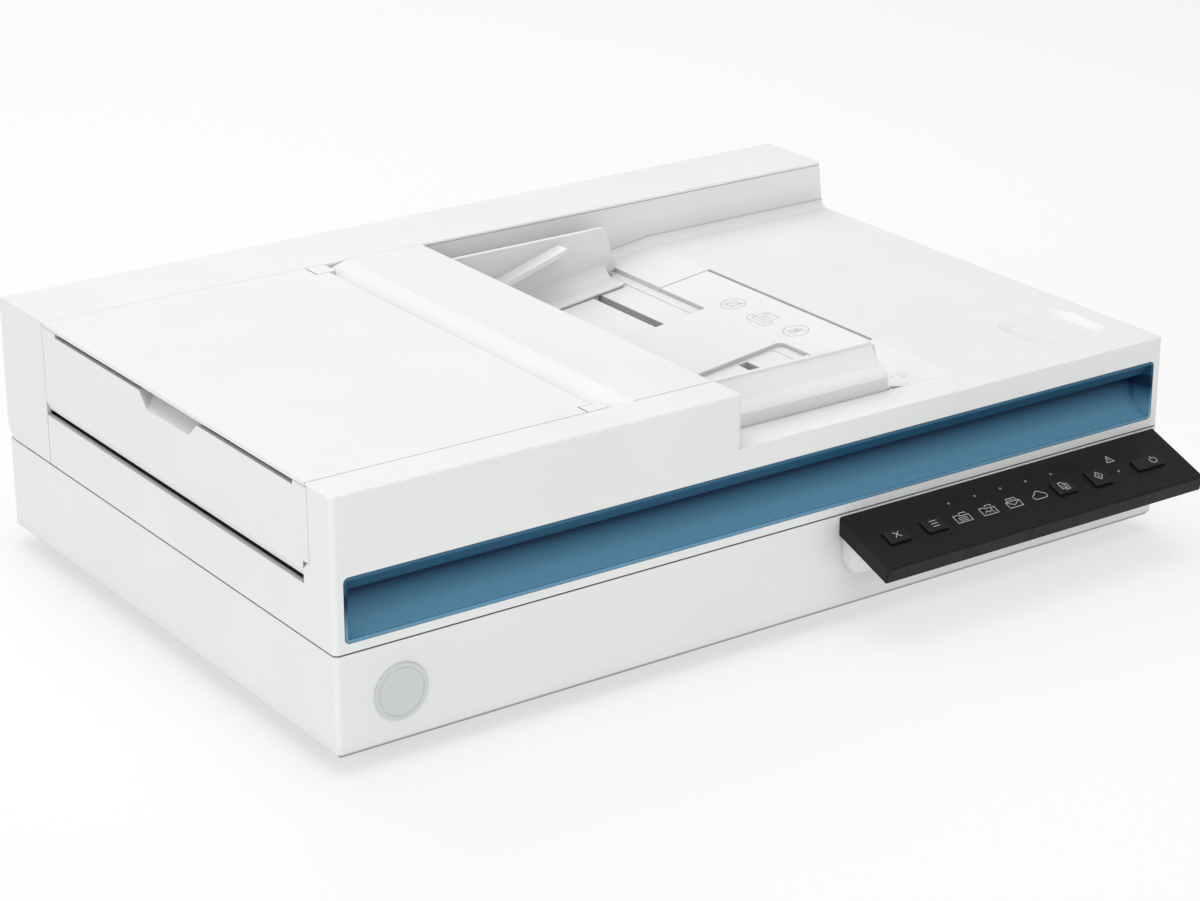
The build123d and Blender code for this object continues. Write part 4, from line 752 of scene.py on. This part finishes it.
# ---- the filler between the tray's rising rear edge and the spine
# It starts just inside the spine's front face and ends SPINE_GAP in front of it.
SPINE_Y = 255.2
SPINE_GAP = 0.12
SPINE_OVERLAP = 0.02
COVE_R = 4.5
FILLER_X = (309.5, 450.6)
FILLER_DEPTH = 2.5
FILLER_BELOW = 0.03


def spine_filler(mesh, sheet):
    crest = PLATEAU_Z + COVE_R - FILLER_BELOW
    start = crest - TRAY_SLOPE * (CREASE_X - FILLER_X[0])
    top = [(FILLER_X[0], start), (CREASE_X, crest), (FILLER_X[1], crest)]
    bottom = [(x, z - FILLER_DEPTH) for x, z in reversed(top)]
    plate(mesh, sheet, top + bottom, SPINE_GAP, -SPINE_OVERLAP)


spine_face = Sheet(at(0, SPINE_Y, 0), (1, 0, 0), (0, 0, 1))
drawing("spine_filler", spine_filler, spine_face, SURFACES["white_shell"], "lid")


# ---- the foam pad that presses a page flat against the glass
PAD_EDGE_R = 1.3
PAD_RIPPLE = 0.12
PAD_WELD = 3.2
PAD_WELD_WIDTH = 0.35
PAD_WELD_DEPTH = 0.4
PAD_STEP = 4.0


def pad_stations(half):
    """Coordinates across the pad: close together at its edges, and about PAD_STEP apart inside."""
    near = [0.0, 0.12, 0.4, 0.8, PAD_EDGE_R, 2.0, 2.6, 2.9, PAD_WELD, 3.5, 3.8, 4.6]
    inner = half - near[-1]
    count = int(2 * inner / PAD_STEP)
    middle = [inner * (2 * i / count - 1) for i in range(1, count)]
    return [gap - half for gap in near] + middle + [half - gap for gap in reversed(near)]


def pad_swell(u, v):
    """A slow, uneven wave between -2 and 2."""
    return sin(u * 0.083 + 1.3 * sin(v * 0.031)) + sin(v * 0.067 + 1.1 * sin(u * 0.023))


def foam_pad():
    """A thin foam sheet with round edges, a welded line near them and a slightly uneven face."""
    low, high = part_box("document_pad")
    middle = (low + high) / 2
    half_u, half_v = (high.x - low.x) / 2 / MM, (high.y - low.y) / 2 / MM
    us, vs = pad_stations(half_u), pad_stations(half_v)
    mesh = bmesh.new()
    faces = []
    for side in ("under", "upper"):
        rows = []
        for u in us:
            row = []
            for v in vs:
                over_u = max(0.0, abs(u) - (half_u - PAD_EDGE_R))
                over_v = max(0.0, abs(v) - (half_v - PAD_EDGE_R))
                over = hypot(over_u, over_v)
                back = max(0.0, over - PAD_EDGE_R) / over if over else 0.0
                x = u - back * over_u * (1 if u > 0 else -1)
                y = v - back * over_v * (1 if v > 0 else -1)
                z = high.z
                if side == "under":
                    over = min(over, PAD_EDGE_R)
                    inside = min(half_u - abs(x), half_v - abs(y))
                    rise = PAD_EDGE_R - sqrt(PAD_EDGE_R**2 - over**2)
                    rise += PAD_RIPPLE * (1 - over / PAD_EDGE_R) * (1 + pad_swell(u, v) / 2)
                    rise += PAD_WELD_DEPTH * exp(-(((inside - PAD_WELD) / PAD_WELD_WIDTH) ** 2))
                    z = low.z + rise * MM
                row.append(mesh.verts.new((middle.x + x * MM, middle.y + y * MM, z)))
            rows.append(row)
        faces.append(rows)
        for one, two in zip(rows, rows[1:]):
            for j in range(len(vs) - 1):
                mesh.faces.new([one[j], two[j], two[j + 1], one[j + 1]])
    rims = []
    for rows in faces:
        rim = [row[0] for row in rows] + rows[-1][1:]
        rim += [row[-1] for row in reversed(rows[:-1])] + list(reversed(rows[0][1:-1]))
        rims.append(rim)
    count = len(rims[0])
    for i in range(count):
        j = (i + 1) % count
        mesh.faces.new([rims[0][i], rims[0][j], rims[1][j], rims[1][i]])
    for face in mesh.faces:
        face.smooth = True
    piece = finish_piece("foam_pad", mesh, SURFACES["foam_white"], "lid")
    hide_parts("document_pad")


foam_pad()


# ---- marks round the glass, on the sensors, at the sockets and underneath
SCALE_STEP = 10.0
SCALE_X_START, SCALE_X_COUNT = 25.0, 31
SCALE_Y_START, SCALE_Y_COUNT = 259.0, 22
SCALE_REAR_Y = 269.0
SCALE_LEFT_X = 15.6
SCALE_LINE = 0.3


def tick_length(step):
    """Every fifth line of a scale is longer."""
    return 3.4 if step % 5 == 0 else 1.8


def platen_marks(mesh, sheet):
    """An arrow at the corner where a page starts, and a scale along two sides of the glass."""
    plate(mesh, sheet, [(13.0, 270.5), (17.6, 270.5), (17.6, 275.1)])
    for step in range(SCALE_X_COUNT):
        u = SCALE_X_START + SCALE_STEP * step
        stroke(mesh, sheet, [(u, SCALE_REAR_Y), (u, SCALE_REAR_Y + tick_length(step))], SCALE_LINE)
    for step in range(SCALE_Y_COUNT):
        v = SCALE_Y_START - SCALE_STEP * step
        stroke(mesh, sheet, [(SCALE_LEFT_X, v), (SCALE_LEFT_X - tick_length(step), v)], SCALE_LINE)


SOCKET_LINE = 0.35


def usb_mark(mesh, sheet):
    outline = [(-2.2, -2.0), (-2.2, 1.0), (-1.2, 2.0), (1.2, 2.0), (2.2, 1.0), (2.2, -2.0)]
    stroke(mesh, sheet, outline, SOCKET_LINE, closed=True)
    stroke(mesh, sheet, [(-1.0, 0.0), (1.0, 0.0)], 0.8)


def power_socket_mark(mesh, sheet):
    stroke(mesh, sheet, arc(0, 0, 2.0, 30, 330, 24), SOCKET_LINE)
    plate(mesh, sheet, arc(0, 0, 0.6, 0, 330, 11))
    stroke(mesh, sheet, [(0.8, 0.0), (3.4, 0.0)], SOCKET_LINE)


FILM_T = 0.12
FILM_LINE_T = 0.17


def rating_plate(mesh, sheet):
    """A plain film with a frame and two ruled lines."""
    plate(mesh, sheet, rounded(74.0, 36.0, 2.0), FILM_T)
    stroke(mesh, sheet, rounded(71.0, 33.0, 1.2), 0.3, closed=True, thick=FILM_LINE_T)
    for v in (7.0, -2.0):
        stroke(mesh, sheet, [(-34.0, v), (34.0, v)], 0.25, thick=FILM_LINE_T)


def box_top(node):
    """The middle of the top face of a CAD node's box."""
    middle = node_middle(node)
    return Vector((middle.x, middle.y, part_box(node)[1].z))


platen_top = level(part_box("platen_frame")[1].z / MM)
drawing("mark_platen", platen_marks, platen_top, PANEL_INK, "root")

SENSOR_MARGIN = 4.0
sensor_low, sensor_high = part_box("flatbed_image_sensor")
sensor_length = (sensor_high.y - sensor_low.y) / MM - 2 * SENSOR_MARGIN
sensor_top = Sheet(box_top("flatbed_image_sensor"), (1, 0, 0), (0, 1, 0))


def light_guide(mesh, sheet):
    plate(mesh, sheet.moved(-2.6, 0.0), rounded(2.2, sensor_length, 0.5), 0.15)


def lens_row(mesh, sheet):
    plate(mesh, sheet.moved(1.4, 0.0), rounded(0.9, sensor_length, 0.2), 0.12)


drawing("sensor_light_guide", light_guide, sensor_top, SURFACES["gear_plastic"], "carriage")
drawing("sensor_lens_row", lens_row, sensor_top, SURFACES["light_window"], "carriage")

REAR_Y = (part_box("base_housing")[1].y - CORNER.y) / MM
rear_face = Sheet(at(0, REAR_Y, 0), (-1, 0, 0), (0, 0, 1))
SOCKET_MARK_Z = 32.5
USB_X = 401.0
POWER_X = 424.0
usb_spot = rear_face.moved(-USB_X, SOCKET_MARK_Z)
power_spot = rear_face.moved(-POWER_X, SOCKET_MARK_Z)
drawing("mark_usb", usb_mark, usb_spot, TRAY_INK, "root")
drawing("mark_power", power_socket_mark, power_spot, TRAY_INK, "root")

PAN_BOTTOM = 7.5
underside = Sheet(at(225, 150, PAN_BOTTOM), (1, 0, 0), (0, -1, 0))
drawing("rating_plate", rating_plate, underside, LABEL, "root")

# ---- floor, lights and camera
FLOOR_HALF = 6.0
floor_data = bpy.data.meshes.new("floor")
floor_mesh = bmesh.new()
bmesh.ops.create_grid(floor_mesh, x_segments=8, y_segments=8, size=FLOOR_HALF)
floor_mesh.to_mesh(floor_data)
floor_mesh.free()
floor = bpy.data.objects.new("floor", floor_data)
bpy.context.scene.collection.objects.link(floor)
# The floor glows, so that it reads as the photograph's plain pale ground.
FLOOR_SHADE = 0.35
FLOOR_GLOW = 0.62
paper = Surface("pale_floor", (FLOOR_SHADE, FLOOR_SHADE, FLOOR_SHADE), 0.9, Specular_IOR_Level=0.0)
paper.shader.inputs["Emission Color"].default_value = (1.0, 1.0, 1.0, 1.0)
paper.shader.inputs["Emission Strength"].default_value = FLOOR_GLOW
floor_data.materials.append(paper.material)

SKY_STRENGTH = 0.46
world = bpy.data.worlds.new("studio")
bpy.context.scene.world = world
world.use_nodes = True
sky = world.node_tree.nodes["Background"]
sky.inputs["Color"].default_value = (1.0, 1.0, 1.0, 1.0)
sky.inputs["Strength"].default_value = SKY_STRENGTH


def softbox(name, place, target, width, height, power):
    """A rectangular lamp of width by height metres that faces target."""
    light = bpy.data.lights.new(name, "AREA")
    light.shape = "RECTANGLE"
    light.size = width
    light.size_y = height
    light.energy = power
    lamp = bpy.data.objects.new(name, light)
    bpy.context.scene.collection.objects.link(lamp)
    lamp.location = place
    lamp.rotation_mode = "QUATERNION"
    lamp.rotation_quaternion = (Vector(target) - Vector(place)).to_track_quat("-Z", "Y")


MIDDLE = (CAD_BOX[0] + CAD_BOX[1]) / 2
softbox("top_softbox", (-0.1, -0.1, 1.8), MIDDLE, 1.5, 1.5, 12.8)
softbox("left_softbox", (-2.3, -0.5, 0.9), MIDDLE, 1.2, 1.0, 12.6)
softbox("front_softbox", (-0.3, -2.2, 1.0), MIDDLE, 1.2, 1.0, 8.0)
softbox("rear_softbox", (0.2, 1.3, 1.4), MIDDLE, 1.4, 1.0, 8.0)

scene = bpy.context.scene
scene.view_settings.view_transform = "Standard"

# The camera that was fitted to the straight edges in the photograph.
CAMERA_AZIMUTH = radians(-35.05)
CAMERA_HEIGHT = radians(21.455)
CAMERA_DISTANCE = 1.45088
CAMERA_TARGET = at(206.16, 110.4, 60.0)
CAMERA_LENS = 95.06
camera_data = bpy.data.cameras.new("camera")
camera_data.sensor_width = 36.0
camera_data.lens = CAMERA_LENS
camera = bpy.data.objects.new("camera", camera_data)
scene.collection.objects.link(camera)
back = Vector(
    (sin(CAMERA_AZIMUTH) * cos(CAMERA_HEIGHT), -cos(CAMERA_AZIMUTH) * cos(CAMERA_HEIGHT), sin(CAMERA_HEIGHT))
)
camera.location = CAMERA_TARGET + back * CAMERA_DISTANCE
camera.rotation_mode = "QUATERNION"
camera.rotation_quaternion = (-back).to_track_quat("-Z", "Y")
scene.camera = camera
